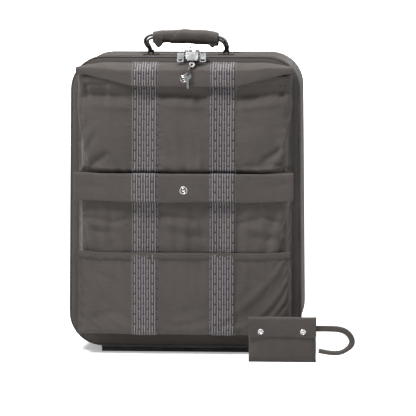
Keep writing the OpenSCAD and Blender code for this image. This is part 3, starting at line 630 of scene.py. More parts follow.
def buildZip(name, y0, y1, body, tape, teeth):
    # woven tape under a row of moulded teeth, round the sides and top
    zipper = {"pitch": 0.0025, "wide": 0.0016, "high": 0.0022}
    low = [i for i, p in enumerate(rim) if p.z < splitZ]
    first = low[-1] + 1
    order = [(first + k) % len(rim) for k in range(len(rim) - len(low))]
    path = [Vector((rim[i].x, 0, rim[i].z)) for i in order]
    normals = [rimOut[i] for i in order]
    grid = [[Vector((p.x, y, p.z)) + n * (-0.0018 - 0.0004 * k) for p, n in zip(path, normals)]
            for k, y in enumerate(np.linspace(min(y0, y1), max(y0, y1), 4))]
    strip = gridPiece(name + "Tape", grid, liningCloth)
    addModifier(strip, "SOLIDIFY", thickness=0.0008)
    attach(freeze(strip), body, "zip", tape)
    reach = 0.0030 if y0 < zipY - 0.0005 or y1 < zipY - 0.0005 else -0.0030
    finer = resample(path, zipper["pitch"])
    points, faces = [], []
    for a, b in zip(finer, finer[1:]):
        along = (b - a).normalized()
        out = Vector((along.z, 0, -along.x))
        if out.dot(a - Vector((0, 0, middleZ))) < 0:
            out = -out
        base, middle = len(points), (a + b) / 2
        for depth, wide, high in ((-0.0004 * math.copysign(1, reach), 1.0, 0.7), (reach * 0.35, 0.8, 1.0),
                                  (reach, 0.55, 0.75)):
            w, h = zipper["wide"] * wide / 2, zipper["high"] * high / 2
            spot = middle + Vector((0, zipY - depth, 0)) + out * -0.0002
            points += [spot - along * w - out * h, spot + along * w - out * h,
                       spot + along * w + out * h, spot - along * w + out * h]
        for k in range(2):
            faces += [(base + k * 4 + j, base + k * 4 + (j + 1) % 4, base + k * 4 + 4 + (j + 1) % 4,
                       base + k * 4 + 4 + j) for j in range(4)]
        faces += [(base + 3, base + 2, base + 1, base), (base + 8, base + 9, base + 10, base + 11)]
    attach(newPiece(name + "Teeth", points, faces, zipNylon, smooth=False), body, "zip", teeth)


buildCase()
buildLining()
buildBack()
buildPiping("rearPiping", backY - 0.0019, "case", "rear_piping", wheelCut(0.0004))
buildPiping("frontPiping", panelY + 0.0019, "lid", "front_piping")
buildZip("zipCase", zipY + 0.0004, wallY + 0.0018, "case", "zip_tape_case", "zip_teeth_case")
buildZip("zipLid", panelY + 0.006, zipY - 0.0004, "lid", "zip_tape_lid", "zip_teeth_lid")
print("case, piping and zip built")


# ---- lid ----

def lidSoft(x, z):
    return 0.0007 * ripple((x, 0, z), 0.05, 2) + 0.0004 * ripple((x, 0, z), 0.018, 9)


def buildLid():
    rings = 22
    wall = ((zipY - 0.0017, 0.0), (zipY - 0.004, 0.0002), (panelY + 0.006, 0.0001),
            (panelY + 0.0035, -0.0004), (panelY + 0.0012, -0.0006))
    grid = [rimRow(y, out) for y, out in wall]
    edge = rimRow(panelY, -0.0014)
    for r in range(rings):
        t = (1 - r / rings) ** 1.15
        grid.append([Vector((p.x * t, panelY + lidSoft(p.x * t, p.z * t) * smoothStep(0, 0.1, 1 - t),
                             middleZ + (p.z - middleZ) * t)) for p in edge])
    # the gusset stops above the base, which the front wall folds under
    shell = gridPiece("lidShell", grid, cloth, loop=True)
    addModifier(shell, "SOLIDIFY", thickness=0.0022, offset=-1)
    freeze(shell)
    cutBoxes(shell, [(-0.3, 0.3, panelY + 0.0043, zipY + 0.01, -0.02, splitZ)])
    attach(shell, "lid", "cloth", "front_panel", "lid_gusset")
    inside = []
    back = panelY + 0.0036
    for t in (0.978, 0.97, 0.9, 0.8, 0.65, 0.5, 0.35, 0.2, 0.08, 0.01):
        inside.append([Vector((p.x * t, back + 0.0006 * (1 + ripple((p.x * t, 0, p.z * t), 0.05, 4)),
                               middleZ + (p.z - middleZ) * t)) for p in edge])
    lining = gridPiece("lidLining", inside, liningCloth, loop=True)
    addModifier(lining, "SOLIDIFY", thickness=0.0006)
    freeze(lining)
    attach(lining, "lid", "lining")


buildLid()
print("lid built")


# ---- pockets ----

settling = {"pressure": 1.2, "gravity": 0.6, "grow": 0.03, "frames": 22, "stiff": 12, "bend": 0.6,
            "mass": 0.15}


def settleCloth(piece, pins, cap):
    # cloth simulation with sewn edges held; the result is kept within cap of the start
    start = [v.co.copy() for v in piece.data.vertices]
    group = piece.vertex_groups.new(name="sewn")
    for i, weight in enumerate(pins):
        if weight > 0:
            group.add([i], weight, "REPLACE")
    settle = piece.modifiers.new("settle", "CLOTH")
    settings = settle.settings
    settings.vertex_group_mass = "sewn"
    settings.quality = 6
    settings.mass = settling["mass"]
    settings.tension_stiffness = settling["stiff"]
    settings.compression_stiffness = settling["stiff"]
    settings.shear_stiffness = settling["stiff"] * 0.5
    settings.bending_stiffness = settling["bend"]
    settings.use_pressure = True
    settings.uniform_pressure_force = settling["pressure"]
    settings.shrink_min = -settling["grow"]
    settings.effector_weights.gravity = settling["gravity"]
    settle.collision_settings.use_collision = False
    settle.point_cache.frame_start = 1
    settle.point_cache.frame_end = settling["frames"]
    for step in range(1, settling["frames"] + 1):
        scene.frame_set(step)
    graph = bpy.context.evaluated_depsgraph_get()
    shape = piece.evaluated_get(graph).to_mesh()
    for vertex, first, found in zip(piece.data.vertices, start, shape.vertices):
        move = found.co - first
        if move.length > cap:
            move *= cap / move.length
        vertex.co = first + move
    piece.modifiers.clear()
    piece.vertex_groups.clear()
    scene.frame_set(1)
    return piece


def pocketGrid(half, low, high, face, back, rows, cols, values):
    # boxed pocket front: rows go up, columns go round the left side, the face and the right side
    grid = []
    for r in range(rows):
        z = low + (high - low) * r / (rows - 1)
        row = []
        for c in range(cols):
            turn = math.pi * (c / (cols - 1) - 0.5)
            u = math.sin(turn) * (0.6 + 0.4 * abs(math.sin(turn)))
            x = half * u
            side = min(1.0, max(0.0, (1 - abs(u)) / values["sideRound"]))
            depth = math.sqrt(max(0.0, 1 - (1 - side) ** 2))
            foot = smoothStep(0, values["footRound"], (z - low) / (high - low))
            foot = math.sqrt(foot) if values["footRound"] else 1.0
            reach = (back - face(x, z)) * depth * foot
            row.append(Vector((x, back - reach, z)))
        grid.append(row)
    return grid


bandLine = {"middle": 0.061, "half": 0.020, "tug": 0.0085}


def addFolds(grid, values, low, high, half):
    # listed creases plus the puckers that gather along sewn edges
    for row in grid:
        for p in row:
            push = 1.5 * sum(crease(p.x, p.z, line) for line in values["creases"])
            nearSide = math.exp(-((half - abs(p.x)) / values["puckerReach"]) ** 2)
            nearFoot = math.exp(-((p.z - low) / values["puckerReach"]) ** 2)
            tuck = math.sin(p.z * 2 * math.pi / values["puckerPitch"] + 2.2 * ripple(p, 0.03, 7))
            gather = math.sin(p.x * 2 * math.pi / values["puckerPitch"] + 2.5 * ripple(p, 0.04, 8))
            push += values["pucker"] * (nearSide * tuck + nearFoot * gather)
            beside = abs(abs(p.x) - bandLine["middle"])
            free = smoothStep(0.0, 0.02, half - abs(p.x)) * smoothStep(0.0, 0.05, (p.z - low) / (high - low))
            push += values["pillow"] * free * (0.4 - math.exp(-(beside / 0.03) ** 2))
            tug = math.sin(p.z * 2 * math.pi / bandLine["tug"] + 1.8 * ripple(p, 0.012, 5))
            push += values["tug"] * free * tug * math.exp(-((beside - bandLine["half"]) / 0.008) ** 2)
            push += values["soft"] * ripple(p, 0.055, values["seed"]) + 0.45 * values["soft"] * ripple(
                (p.x, p.y, p.z * 2.2), 0.03, values["seed"] + 3)
            p.y -= push
    return grid


def sewnPins(rows, cols, mouth):
    # sides and foot are sewn down, and the mouth holds only partly
    pins = []
    for r in range(rows):
        for c in range(cols):
            sewn = r == 0 or c in (0, cols - 1)
            pins.append(1.0 if sewn else mouth if r == rows - 1 else 0.0)
    return pins


pockets = {
    "upper": {"sideRound": 0.06, "footRound": 0.10,
              "puckerReach": 0.016, "puckerPitch": 0.019, "pucker": 0.0011,
              "soft": 0.0014, "seed": 1.0, "pillow": 0.0060, "tug": 0.0011, "creases": [
                  (-0.160, 0.407, -0.085, 0.403, -0.0050, 0.008),
                  (-0.045, 0.409, 0.040, 0.404, -0.0050, 0.009),
                  (0.078, 0.403, 0.163, 0.411, -0.0052, 0.009), (-0.150, 0.393, -0.085, 0.386, 0.0022, 0.006),
                  (-0.040, 0.392, 0.040, 0.388, 0.0020, 0.006), (0.080, 0.386, 0.160, 0.396, 0.0024, 0.006),
                  (-0.158, 0.287, -0.118, 0.316, -0.0030, 0.005),
                  (-0.163, 0.300, -0.140, 0.345, -0.0018, 0.005),
                  (0.118, 0.300, 0.163, 0.330, -0.0032, 0.005), (0.095, 0.293, 0.150, 0.300, -0.0024, 0.004),
                  (0.150, 0.34, 0.164, 0.30, 0.0016, 0.005), (-0.15, 0.37, -0.163, 0.33, -0.0014, 0.006),
                  (0.086, 0.372, 0.11, 0.352, -0.0013, 0.006), (-0.04, 0.300, 0.03, 0.296, 0.0014, 0.008)]},
    "lower": {"sideRound": 0.05, "footRound": 0.05,
              "puckerReach": 0.014, "puckerPitch": 0.017, "pucker": 0.0010,
              "soft": 0.0014, "seed": 4.0, "pillow": 0.0042, "tug": 0.0010, "creases": [
                  (-0.163, 0.218, -0.115, 0.209, -0.0030, 0.0045),
                  (-0.120, 0.205, -0.083, 0.215, -0.0022, 0.0045),
                  (-0.158, 0.198, -0.110, 0.190, -0.0018, 0.005),
                  (-0.160, 0.208, -0.10, 0.199, 0.0018, 0.0045),
                  (-0.038, 0.222, 0.036, 0.212, -0.0024, 0.006), (-0.036, 0.205, 0.030, 0.200, 0.0020, 0.006),
                  (-0.030, 0.190, 0.038, 0.184, -0.0014, 0.006),
                  (0.084, 0.206, 0.125, 0.216, -0.0026, 0.0045),
                  (0.118, 0.222, 0.163, 0.200, -0.0030, 0.005), (0.096, 0.200, 0.150, 0.192, 0.0020, 0.005),
                  (0.100, 0.186, 0.160, 0.180, -0.0018, 0.005),
                  (0.124, 0.212, 0.160, 0.188, 0.0016, 0.0045)]},
    "slip": {"sideRound": 0.035, "footRound": 0.05,
             "puckerReach": 0.012, "puckerPitch": 0.016, "pucker": 0.0008,
             "soft": 0.0010, "seed": 6.0, "pillow": 0.0016, "tug": 0.0003, "creases": [
                 (-0.155, 0.135, -0.10, 0.11, -0.0014, 0.007), (0.10, 0.13, 0.155, 0.10, -0.0013, 0.008),
                 (-0.03, 0.06, 0.03, 0.075, -0.0010, 0.008), (-0.15, 0.055, -0.10, 0.07, -0.0013, 0.006),
                 (0.10, 0.055, 0.15, 0.045, -0.0012, 0.006)]}}


def hemPiece(name, row, depth):
    # folded hem along a pocket's mouth, standing a hair proud of the cloth
    fold = ((0.0004, 0.0), (-0.0012, -0.0008), (-0.0022, 0.0006), (-0.0016, 0.003), (-0.0014, depth * 0.6),
            (-0.0013, depth), (-0.0004, depth + 0.0004))
    grid = [[p + Vector((0, out, -down)) for p in row] for out, down in fold]
    attach(gridPiece(name, grid, cloth), "lid", "cloth")


def buildPocket(key, rows, faceShape, hem, mouth, cap):
    values, node, cols = pockets[key], key + "_pocket", 92
    low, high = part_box(node)
    half = high.x
    back = high.y if key != "slip" else high.y - 0.0004
    grid = pocketGrid(half, low.z, high.z, faceShape, back, rows, cols, values)
    piece = gridPiece(node + "Cloth", grid, cloth)
    settleCloth(piece, sewnPins(rows, cols, mouth), cap)
    grid = [[piece.data.vertices[r * cols + c].co.copy() for c in range(cols)] for r in range(rows)]
    grid = addFolds(grid, values, low.z, high.z, half)
    for vertex, p in zip(piece.data.vertices, (p for row in grid for p in row)):
        p.y = min(p.y, back)
        vertex.co = p
    addModifier(piece, "SOLIDIFY", thickness=0.0014, offset=-1)
    addModifier(piece, "SUBSURF", levels=1, render_levels=1)
    attach(freeze(piece), "lid", "cloth", node)
    hemRow = grid[-1]
    hemPiece(node + "Hem", hemRow, hem)
    runs = [[p + Vector((0, -0.0016, -hem + 0.001)) for p in hemRow[4:-4]],
            [p + Vector((0, -0.0005, 0)) for p in grid[1][3:-3]]]
    sideRun = [[row[c] + Vector((0, -0.0006, 0)) for row in grid[2:-2]] for c in (6, cols - 7)]
    attach(stitchPiece(node + "Stitches", runs + sideRun, thread), "lid", "webbing")
    return grid


def upperFace(x, z):
    low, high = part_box("upper_pocket")
    belly = low.z + (high.z - low.z) * 0.40
    if z < belly:
        base = low.y + 0.0035 * ((belly - z) / (belly - low.z)) ** 2
    else:
        t = (z - belly) / (high.z - belly)
        base = low.y + 0.0150 * t ** 1.25 + 0.0045 * math.exp(-((z - 0.408) / 0.0075) ** 2)
    return base + 0.0035 * (abs(x) / high.x) ** 3 - 0.001


def lowerFace(x, z):
    low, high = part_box("lower_pocket")
    t = (z - low.z) / (high.z - low.z)
    return low.y + 0.0012 + 0.003 * (abs(x) / high.x) ** 4 + 0.002 * t ** 3


def slipFace(x, z):
    low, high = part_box("slip_pocket")
    t = (z - low.z) / (high.z - low.z)
    return low.y + 0.0015 + 0.0035 * (abs(x) / high.x) ** 3 + 0.0022 * t ** 2


upperGrid = buildPocket("upper", 46, upperFace, hem=0.012, mouth=0.6, cap=0.0065)
lowerGrid = buildPocket("lower", 58, lowerFace, hem=0.010, mouth=0.5, cap=0.0045)
slipGrid = buildPocket("slip", 40, slipFace, hem=0.0095, mouth=0.35, cap=0.0032)
print("pockets sewn")


# ---- flaps ----

def flapGrid(root, fold, edge, half, cols, values):
    # root, fold and edge give (y, z) at x; the cloth runs from root over the fold to the edge
    grid, over = [], values["overRows"]
    for r in range(values["rows"]):
        row = []
        for c in range(cols):
            x = -half + 2 * half * c / (cols - 1)
            a, b, d = (Vector((x, *line(x))) for line in (root, fold, edge))
            if r <= over:
                t = r / over
                p = a.lerp(b, t) + (b - a).cross(Vector((1, 0, 0))) * values["crown"] * math.sin(math.pi * t)
            else:
                t = (r - over) / (values["rows"] - 1 - over)
                p = b.lerp(d, t) + Vector((0, -values["belly"] * math.sin(math.pi * t), 0))
            down = r / (values["rows"] - 1)
            push = sum(crease(x, p.z, crease_) for crease_ in values["creases"])
            push += values["soft"] * ripple((x, 0, p.z), 0.05, values["seed"])
            push += values["flare"] * smoothStep(0.5, 1.0, down) * ripple((x, 0, 0), 0.07, values["seed"] + 1)
            p.y -= push * smoothStep(0.0, 0.12, down)
            row.append(p)
        grid.append(row)
    return grid


def buildFlap(name, grid, stands):
    piece = gridPiece(name, grid, cloth)
    addModifier(piece, "SOLIDIFY", thickness=0.0018, offset=-1)
    addModifier(piece, "SUBSURF", levels=1, render_levels=1)
    freeze(piece)
    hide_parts(*stands)
    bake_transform(piece)
    return piece


topFlap = {"rows": 26, "overRows": 10, "crown": 0.06, "belly": 0.0006, "soft": 0.0008, "flare": 0.0016,
           "seed": 11.0, "dent": 0.0038, "dentWide": 0.014, "pathDent": 0.0030, "pathHalf": 0.100,
           "creases": [(0.045, 0.458, 0.066, 0.444, 0.0022, 0.0045),
                       (0.066, 0.446, 0.066, 0.422, 0.0016, 0.004),
                       (-0.14, 0.447, -0.06, 0.441, 0.0012, 0.006), (0.09, 0.446, 0.15, 0.452, 0.0012, 0.006),
                       (-0.03, 0.436, 0.03, 0.438, -0.0008, 0.006)]}
midFlap = {"rows": 22, "overRows": 3, "crown": 0.25, "belly": 0.0008, "soft": 0.0009, "flare": 0.0014,
           "seed": 15.0,
           "creases": [(-0.165, 0.268, -0.12, 0.262, -0.0013, 0.006),
                       (0.12, 0.262, 0.165, 0.270, -0.0013, 0.006),
                       (-0.02, 0.252, 0.03, 0.249, 0.0008, 0.006)]}


hoodLow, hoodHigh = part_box("top_hood")
flapLow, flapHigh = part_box("top_flap")
midLow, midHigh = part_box("mid_flap")
foldTop = Vector((0, flapHigh.y - 0.0006, flapHigh.z))


def tipShare(x, first=0.080):
    # 0 over the middle, 1 at the two pointed tips
    return min(1.0, max(0.0, (abs(x) - first) / (flapHigh.x - first)))


def keyDent(x):
    # the flap gives way under the padlock's key
    low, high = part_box("lock_key")
    here = math.exp(-((x - (low.x + high.x) / 2) / topFlap["dentWide"]) ** 2) * topFlap["dent"]
    path = (1 - smoothStep(topFlap["pathHalf"], topFlap["pathHalf"] + 0.03, abs(x))) * topFlap["pathDent"]
    return max(here, path)


def topRoot(x):
    share = tipShare(x, 0.105)
    z = hoodHigh.z - 0.0005 - 0.0085 * share ** 1.6 - 0.5 * keyDent(x)
    return panelY - 0.0008 - 0.012 * share ** 2, z


def topFold(x):
    share = tipShare(x)
    dent = keyDent(x)
    return foldTop.y - 0.0020 + 0.002 * share + 0.15 * dent, foldTop.z + 0.0006 + 0.0006 * share - dent


def topEdge(x):
    # the lower edge climbs towards the tips
    share = tipShare(x)
    z = flapLow.z + 0.0006 * math.cos(x * 60) + 0.0235 * share ** 1.1
    return flapLow.y + 0.0005 + 0.0045 * share, z


def midRoot(x):
    return midHigh.y + 0.0015, midHigh.z + 0.0010 + 0.0022 * smoothStep(0.12, 0.17, abs(x))


def midFold(x):
    return midHigh.y - 0.0016, midHigh.z - 0.0005 + 0.0022 * smoothStep(0.12, 0.17, abs(x))


def midEdge(x):
    z = midLow.z + 0.0022 + 0.003 * smoothStep(0.09, 0.17, abs(x)) + 0.0005 * math.sin(x * 37)
    return midLow.y + 0.0008, z


topGrid = flapGrid(topRoot, topFold, topEdge, flapHigh.x, 96, topFlap)
midGrid = flapGrid(midRoot, midFold, midEdge, midHigh.x, 96, midFlap)
topBlend = (foldTop + Vector((0, 0.003, 0.003)), foldTop + Vector((0, -0.002, -0.003)))
midBlend = (Vector((0, midHigh.y, midHigh.z + 0.0012)), Vector((0, midHigh.y - 0.001, midHigh.z - 0.005)))
topPiece = buildFlap("topFlapCloth", topGrid, ["top_hood", "top_flap"])
midPiece = buildFlap("midFlapCloth", midGrid, ["mid_flap"])


def bindEdge(name, row):
    # rolled binding round a flap's free edge
    section = [(a * 0.9, b * 1.5) for a, b in roundSection(0.0013, 8)]
    piece = sweepPiece(name, resample(row, 0.004), section, cloth, up=(0, -1, 0.2))
    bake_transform(piece)
    return piece


def sewFlap(name, grid, rows, facing=(0, -1, 0)):
    runs = [[p + Vector((0, -0.0006, 0)) for p in grid[r]] for r in rows]
    stitches = stitchPiece(name, runs, thread, facing=facing)
    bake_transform(stitches)


midRim = [row[0] for row in midGrid[:-1]] + midGrid[-1] + [row[-1] for row in midGrid[-2::-1]]
bindEdge("topFlapBinding", topGrid[-1])
bindEdge("midFlapBinding", midRim)
sewFlap("topFlapStitches", topGrid, (-4, 2), (0, -1, 0.3))
sewFlap("midFlapStitches", midGrid, (4, -3))
print("flaps sewn")


# ---- webbing bands ----

bands = {"half": 0.020, "middle": 0.061, "lift": 0.0011, "thick": 0.0010, "crown": 0.0003, "cols": 9}


def layBand(piece, body, blendAt):
    if blendAt:
        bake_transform(piece)
    else:
        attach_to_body(piece, body)


def bandOn(name, grid, rows, body, side, stands=None, blendAt=None):
    # a strip laid over the cloth: samples the cloth's own grid at each column
    strip = []
    for r in rows:
        row = grid[r]
        xs = [p.x for p in row]
        line = []
        for c in range(bands["cols"]):
            x = side * bands["middle"] - bands["half"] + 2 * bands["half"] * c / (bands["cols"] - 1)
            k = min(max(int(np.searchsorted(xs, x)), 1), len(xs) - 1)
            share = (x - xs[k - 1]) / max(xs[k] - xs[k - 1], 1e-9)
            run = (grid[min(r + 1, len(grid) - 1)][k] - grid[max(r - 1, 0)][k]).normalized()
            out = run.cross(Vector((1, 0, 0)))
            if out.dot(Vector((0, -1, 0.3))) < 0:
                out = -out
            middle = 0 < c < bands["cols"] - 1
            line.append(row[k - 1].lerp(row[k], share) + out * (bands["lift"] + bands["crown"] * middle))
        strip.append(line)
    piece = gridPiece(name, strip, band)
    addModifier(piece, "SOLIDIFY", thickness=bands["thick"], offset=-1)
    freeze(piece)
    layBand(piece, body, blendAt)
    if stands:
        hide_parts(stands)
    edges = [[line[c] + Vector((inward, -0.0004, 0)) for line in strip]
             for c, inward in ((0, 0.0016), (-1, -0.0016))]
    layBand(stitchPiece(name + "Stitches", edges, thread), body, blendAt)


# what each band lies on: name, cloth, rows covered, body, CAD part, blend
runsOfBand = (("upperBand", upperGrid, range(1, 46), "lid", "webbing_upper", None),
              ("lowerBand", lowerGrid, range(30, 58), "lid", "webbing_lower", None),
              ("slipBand", slipGrid, range(1, 40), "lid", None, None),
              ("topFlapBand", topGrid, range(0, 26), "top_flap", "webbing_top_flap", topBlend),
              ("midFlapBand", midGrid, range(0, 22), "mid_flap", "webbing_mid_flap", midBlend))
for side, word in ((-1, "Left"), (1, "Right")):
    for name, grid, rows, body, node, blendAt in runsOfBand:
        bandOn(name + word, grid, rows, body, side, node if side < 0 else None, blendAt)
print("webbing laid")


# ---- carry handle ----

handle = {"shift": -0.0042, "long": 0.0520, "wide": 0.0150, "tall": 0.0103, "rows": 70, "around": 44,
          "wrinkle": 0.0007, "overlap": 0.0012, "strapWide": 0.0245, "strapThick": 0.0031, "arch": 0.0032,
          "lean": 0.0012}
wrapLow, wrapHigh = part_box("handle_wrap")
gripAt = Vector((handle["shift"], (wrapLow.y + wrapHigh.y) / 2, wrapHigh.z - handle["tall"] + 0.0004))


def archLift(u):
    # the grip bows up in the middle and leans to one side
    return -handle["arch"] * u * u - handle["lean"] * u


def softPath(points, pieces=8):
    # smooth curve through the given points
    pts = [Vector(p) for p in points]
    pts = [pts[0] * 2 - pts[1]] + pts + [pts[-1] * 2 - pts[-2]]
    found = []
    for a, b, c, d in zip(pts, pts[1:], pts[2:], pts[3:]):
        for k in range(pieces):
            t = k / pieces
            found.append(((b * 2) + (c - a) * t + (a * 2 - b * 5 + c * 4 - d) * t * t
                          + (b * 3 - a - c * 3 + d) * t ** 3) * 0.5)
    return found + [pts[-2]]


def buildWrap():
    grid = []
    for r in range(handle["rows"]):
        u = r / (handle["rows"] - 1) * 2 - 1
        row = []
        for c in range(handle["around"]):
            turn = 2 * math.pi * c / handle["around"]
            side, lift = math.cos(turn), math.sin(turn)
            y = math.copysign(abs(side) ** 0.75, side) * handle["wide"]
            z = math.copysign(abs(lift) ** 0.75, lift) * handle["tall"]
            size = 1 - 0.05 * smoothStep(0.8, 1.0, abs(u)) + 0.03 * math.sin(3.1 * u)
            p = Vector((u * handle["long"], y * size, z * size))
            rise = Vector((0, 0, archLift(u)))
            out = Vector((0, side, lift))
            fold = math.sin(p.x * 180 + lift * 2.2 + 3 * ripple(p, 0.02, 21))
            push = handle["wrinkle"] * (0.55 * fold * smoothStep(-0.6, 0.4, abs(side)) + ripple(p, 0.014, 22))
            # the outer layer's edge runs slantwise over the front
            edge = p.x + 0.016 - 0.9 * p.z
            if side < 0:
                push += handle["overlap"] * smoothStep(-0.0006, 0.0006, edge)
            row.append(gripAt + p + rise + out * push)
        grid.append(row)
    wrap = gridPiece("handleWrap", grid, cloth, loop=True)
    addModifier(wrap, "SOLIDIFY", thickness=0.002, offset=-1)
    addModifier(wrap, "SUBSURF", levels=1, render_levels=1)
    attach(freeze(wrap), "carry_handle", "cloth", "handle_wrap")
    # hanging corners of the wrap
    points, faces, steps = [], [], 9
    for end in (-1, 1):
        for face in (-1, 1):
            base = len(points)
            for r in range(steps):
                t = r / (steps - 1)
                half = 0.0070 * (1 - t ** 2.6) + 0.0010
                for c in range(steps):
                    s = c / (steps - 1) * 2 - 1
                    x = end * (handle["long"] - 0.0082 - 0.0010 * t) + half * s
                    y = (face * (handle["wide"] * (0.985 - 0.16 * t * t))
                         + 0.0006 * ripple((x, t, face), 0.01, 3))
                    rise = (1 - t) * archLift(x / handle["long"])
                    points.append(gripAt + Vector((x, y, 0.001 - 0.0185 * t + rise)))
            faces += [tuple(base + v for v in f) for f in gridFaces(steps, steps)]
    ears = newPiece("handleEars", points, faces, cloth)
    addModifier(ears, "SOLIDIFY", thickness=0.0016, offset=0)
    addModifier(ears, "BEVEL", width=0.0005, segments=2)
    attach(freeze(ears), "carry_handle", "cloth")
    seam = [[gripAt + Vector((-0.0185 + 0.9 * z, -handle["wide"] - 0.0016
                              + 0.0035 * (z / handle["tall"]) ** 2, z))
             for z in (-0.0075, -0.004, 0.0, 0.004, 0.0075)]]
    lower = [[gripAt + Vector((x, -handle["wide"] * 0.965, -0.0072 + archLift(x / handle["long"])))
              for x in np.linspace(-0.047, 0.047, 12)]]
    attach(stitchPiece("handleStitches", seam + lower, thread), "carry_handle", "webbing")


def buildLoops():
    # two layers of strap on each side, from the anchor's pin up into the grip
    pin = 0.470
    loops = {
        "leftOuter": ((-0.0605, pin), (-0.0650, 0.4765), (-0.0695, 0.4850), (-0.0665, 0.4925),
                      (-0.0570, 0.4962), (-0.0340, 0.4968)),
        "leftInner": ((-0.0580, pin), (-0.0612, 0.4770), (-0.0652, 0.4845), (-0.0628, 0.4890),
                      (-0.0545, 0.4920), (-0.0340, 0.4928)),
        "rightOuter": ((0.0618, pin), (0.0628, 0.4765), (0.0605, 0.4840), (0.0560, 0.4895), (0.0475, 0.4930),
                       (0.0260, 0.4962)),
        "rightInner": ((0.0590, pin), (0.0590, 0.4762), (0.0568, 0.4820), (0.0525, 0.4862), (0.0440, 0.4892),
                       (0.0260, 0.4922))}
    for name, line in loops.items():
        path = softPath([(x, gripAt.y, z) for x, z in line])
        inside = Vector((math.copysign(0.035, line[0][0]), 0, 0.474))
        section = flatSection(handle["strapWide"], handle["strapThick"])
        piece = sweepPiece(name + "Loop", resample(path, 0.0016), section, strapCloth,
                           up=lambda p, inside=inside: (p.x - inside.x, 0, p.z - inside.z))
        for vertex in piece.data.vertices:
            pinch = smoothStep(pin + 0.0005, pin + 0.010, vertex.co.z)
            vertex.co.y = gripAt.y + (vertex.co.y - gripAt.y) * (0.24 + 0.76 * pinch)
        attach(piece, "carry_handle", "webbing", *(["handle_webbing"] if name == "leftOuter" else []))


buildWrap()
buildLoops()
print("handle made")


# ---- snaps ----

def clothSpot(grid, x, z):
    return min((p for row in grid for p in row), key=lambda p: (p.x - x) ** 2 + (p.z - z) ** 2)


def snapPiece(name, centre, axis, radius, body, *stands):
    # rolled rim, dished ring and a small raised middle
    profile = [(0.00, -0.6), (0.98, -0.6), (1.0, -0.2), (1.0, 0.12), (0.95, 0.26), (0.86, 0.33), (0.76, 0.29),
               (0.66, 0.16), (0.54, 0.10), (0.46, 0.14), (0.40, 0.26), (0.28, 0.33), (0.14, 0.36),
               (0.0, 0.365)]
    deep = {-0.6: -0.0012}
    points = [(max(r, 0.01) * radius, deep.get(h, h * radius * 0.9)) for r, h in profile]
    piece = lathePiece(name, points, centre, axis, snapMetal, sides=48)
    return attach(piece, body, "steel", *stands)


snapMetal = metalMaterial("snapMetal", (0.60, 0.59, 0.59, 1), 0.2)
topSnapLow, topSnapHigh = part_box("top_snap_cap")
midSnapLow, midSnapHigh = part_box("mid_snap_cap")
topSnapAt = clothSpot(topGrid, 0.0, (topSnapLow.z + topSnapHigh.z) / 2)
midSnapAt = clothSpot(midGrid, 0.0, (midSnapLow.z + midSnapHigh.z) / 2)
snapPiece("topSnapCap", (0, topSnapAt.y - 0.0010, topSnapAt.z), (0, -1, 0.15), 0.0062, "top_flap",
          "top_snap_cap")
snapPiece("midSnapCap", (0, midSnapAt.y - 0.0006, midSnapAt.z), (0, -1, 0.02), 0.0066, "mid_flap",
          "mid_snap_cap")


# ---- padlock thong ----

def buildThong():
    low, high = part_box("key_thong")
    middle = (low.x + high.x) / 2
    line = [(middle, high.y - 0.0003, high.z - 0.0003), (middle, high.y - 0.0022, high.z - 0.0030),
            (middle, low.y + 0.0040, low.z + 0.0115), (middle, low.y + 0.0010, low.z + 0.0068),
            (middle, low.y + 0.0007, low.z + 0.0005)]
    path = softPath(line, 6)
    thong = sweepPiece("keyThong", path, flatSection(high.x - low.x, 0.00055), leather, up=(0, -1, 0.4))
    attach(thong, "spare_key", "thong", "key_thong")


buildThong()
print("snaps and thong made")


# ---- pouch ----

pouch = {"rows": 44, "cols": 46, "seam": 0.0009, "soft": 0.0007, "strapWide": 0.0088, "strapThick": 0.0030}
pouchLow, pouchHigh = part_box("pouch_shell")
pouchFlapLow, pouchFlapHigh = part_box("pouch_flap")
pouchMid = (pouchLow + pouchHigh) / 2
pouchHalf = (pouchHigh.x - pouchLow.x) / 2


def pouchSkin(u, v, face):
    # u and v run -1 to 1 and 0 to 1; face is -1 at the front, 1 at the back
    puff = (1 - abs(u) ** 7) * (1 - (1 - v) ** 9)
    half = (pouchHigh.y - pouchLow.y) / 2 * 0.92
    x = pouchMid.x + u * pouchHalf * (1 - 0.006 * math.sin(math.pi * v))
    z = pouchLow.z + 0.0002 + v * (pouchFlapHigh.z - 0.0022 - pouchLow.z)
    soft = pouch["soft"] * ripple((x, face, z), 0.022, 31) * puff
    return Vector((x, pouchMid.y + face * (pouch["seam"] + (half - pouch["seam"]) * puff) + soft, z))


def buildPouch():
    grid = []
    for r in range(pouch["rows"]):
        v = r / (pouch["rows"] - 1)
        front = [pouchSkin(c / (pouch["cols"] - 1) * 2 - 1, v, -1) for c in range(pouch["cols"])]
        back = [pouchSkin(1 - c / (pouch["cols"] - 1) * 2, v, 1) for c in range(pouch["cols"])]
        grid.append(front + back)
    around = len(grid[0])
    last = (len(grid) - 1) * around
    faces = gridFaces(len(grid), around, loop=True)
    count = pouch["cols"]
    # the foot seam joins front and back; the mouth stays open under the flap
    faces += [(c + 1, c, around - 1 - c, around - 2 - c) for c in range(count - 1)]
    shell = newPiece("pouchCloth", [p for row in grid for p in row], faces, pouchClothLook)
    addModifier(shell, "SOLIDIFY", thickness=0.0012, offset=-1)
    attach(freeze(shell), "pouch", "cloth", "pouch_shell")
    runs = [[pouchSkin(u * 0.955, 0.03 + 0.94 * k / 20, -1) + Vector((0, -0.0004, 0)) for k in range(21)]
            for u in (-1, 1)]
    runs.append([pouchSkin(-0.95 + 1.9 * k / 20, 0.035, -1) + Vector((0, -0.0004, 0)) for k in range(21)])
    attach(stitchPiece("pouchStitches", runs, pouchThread, pitch=0.0036, length=0.0026, radius=0.0003),
           "pouch", "webbing")


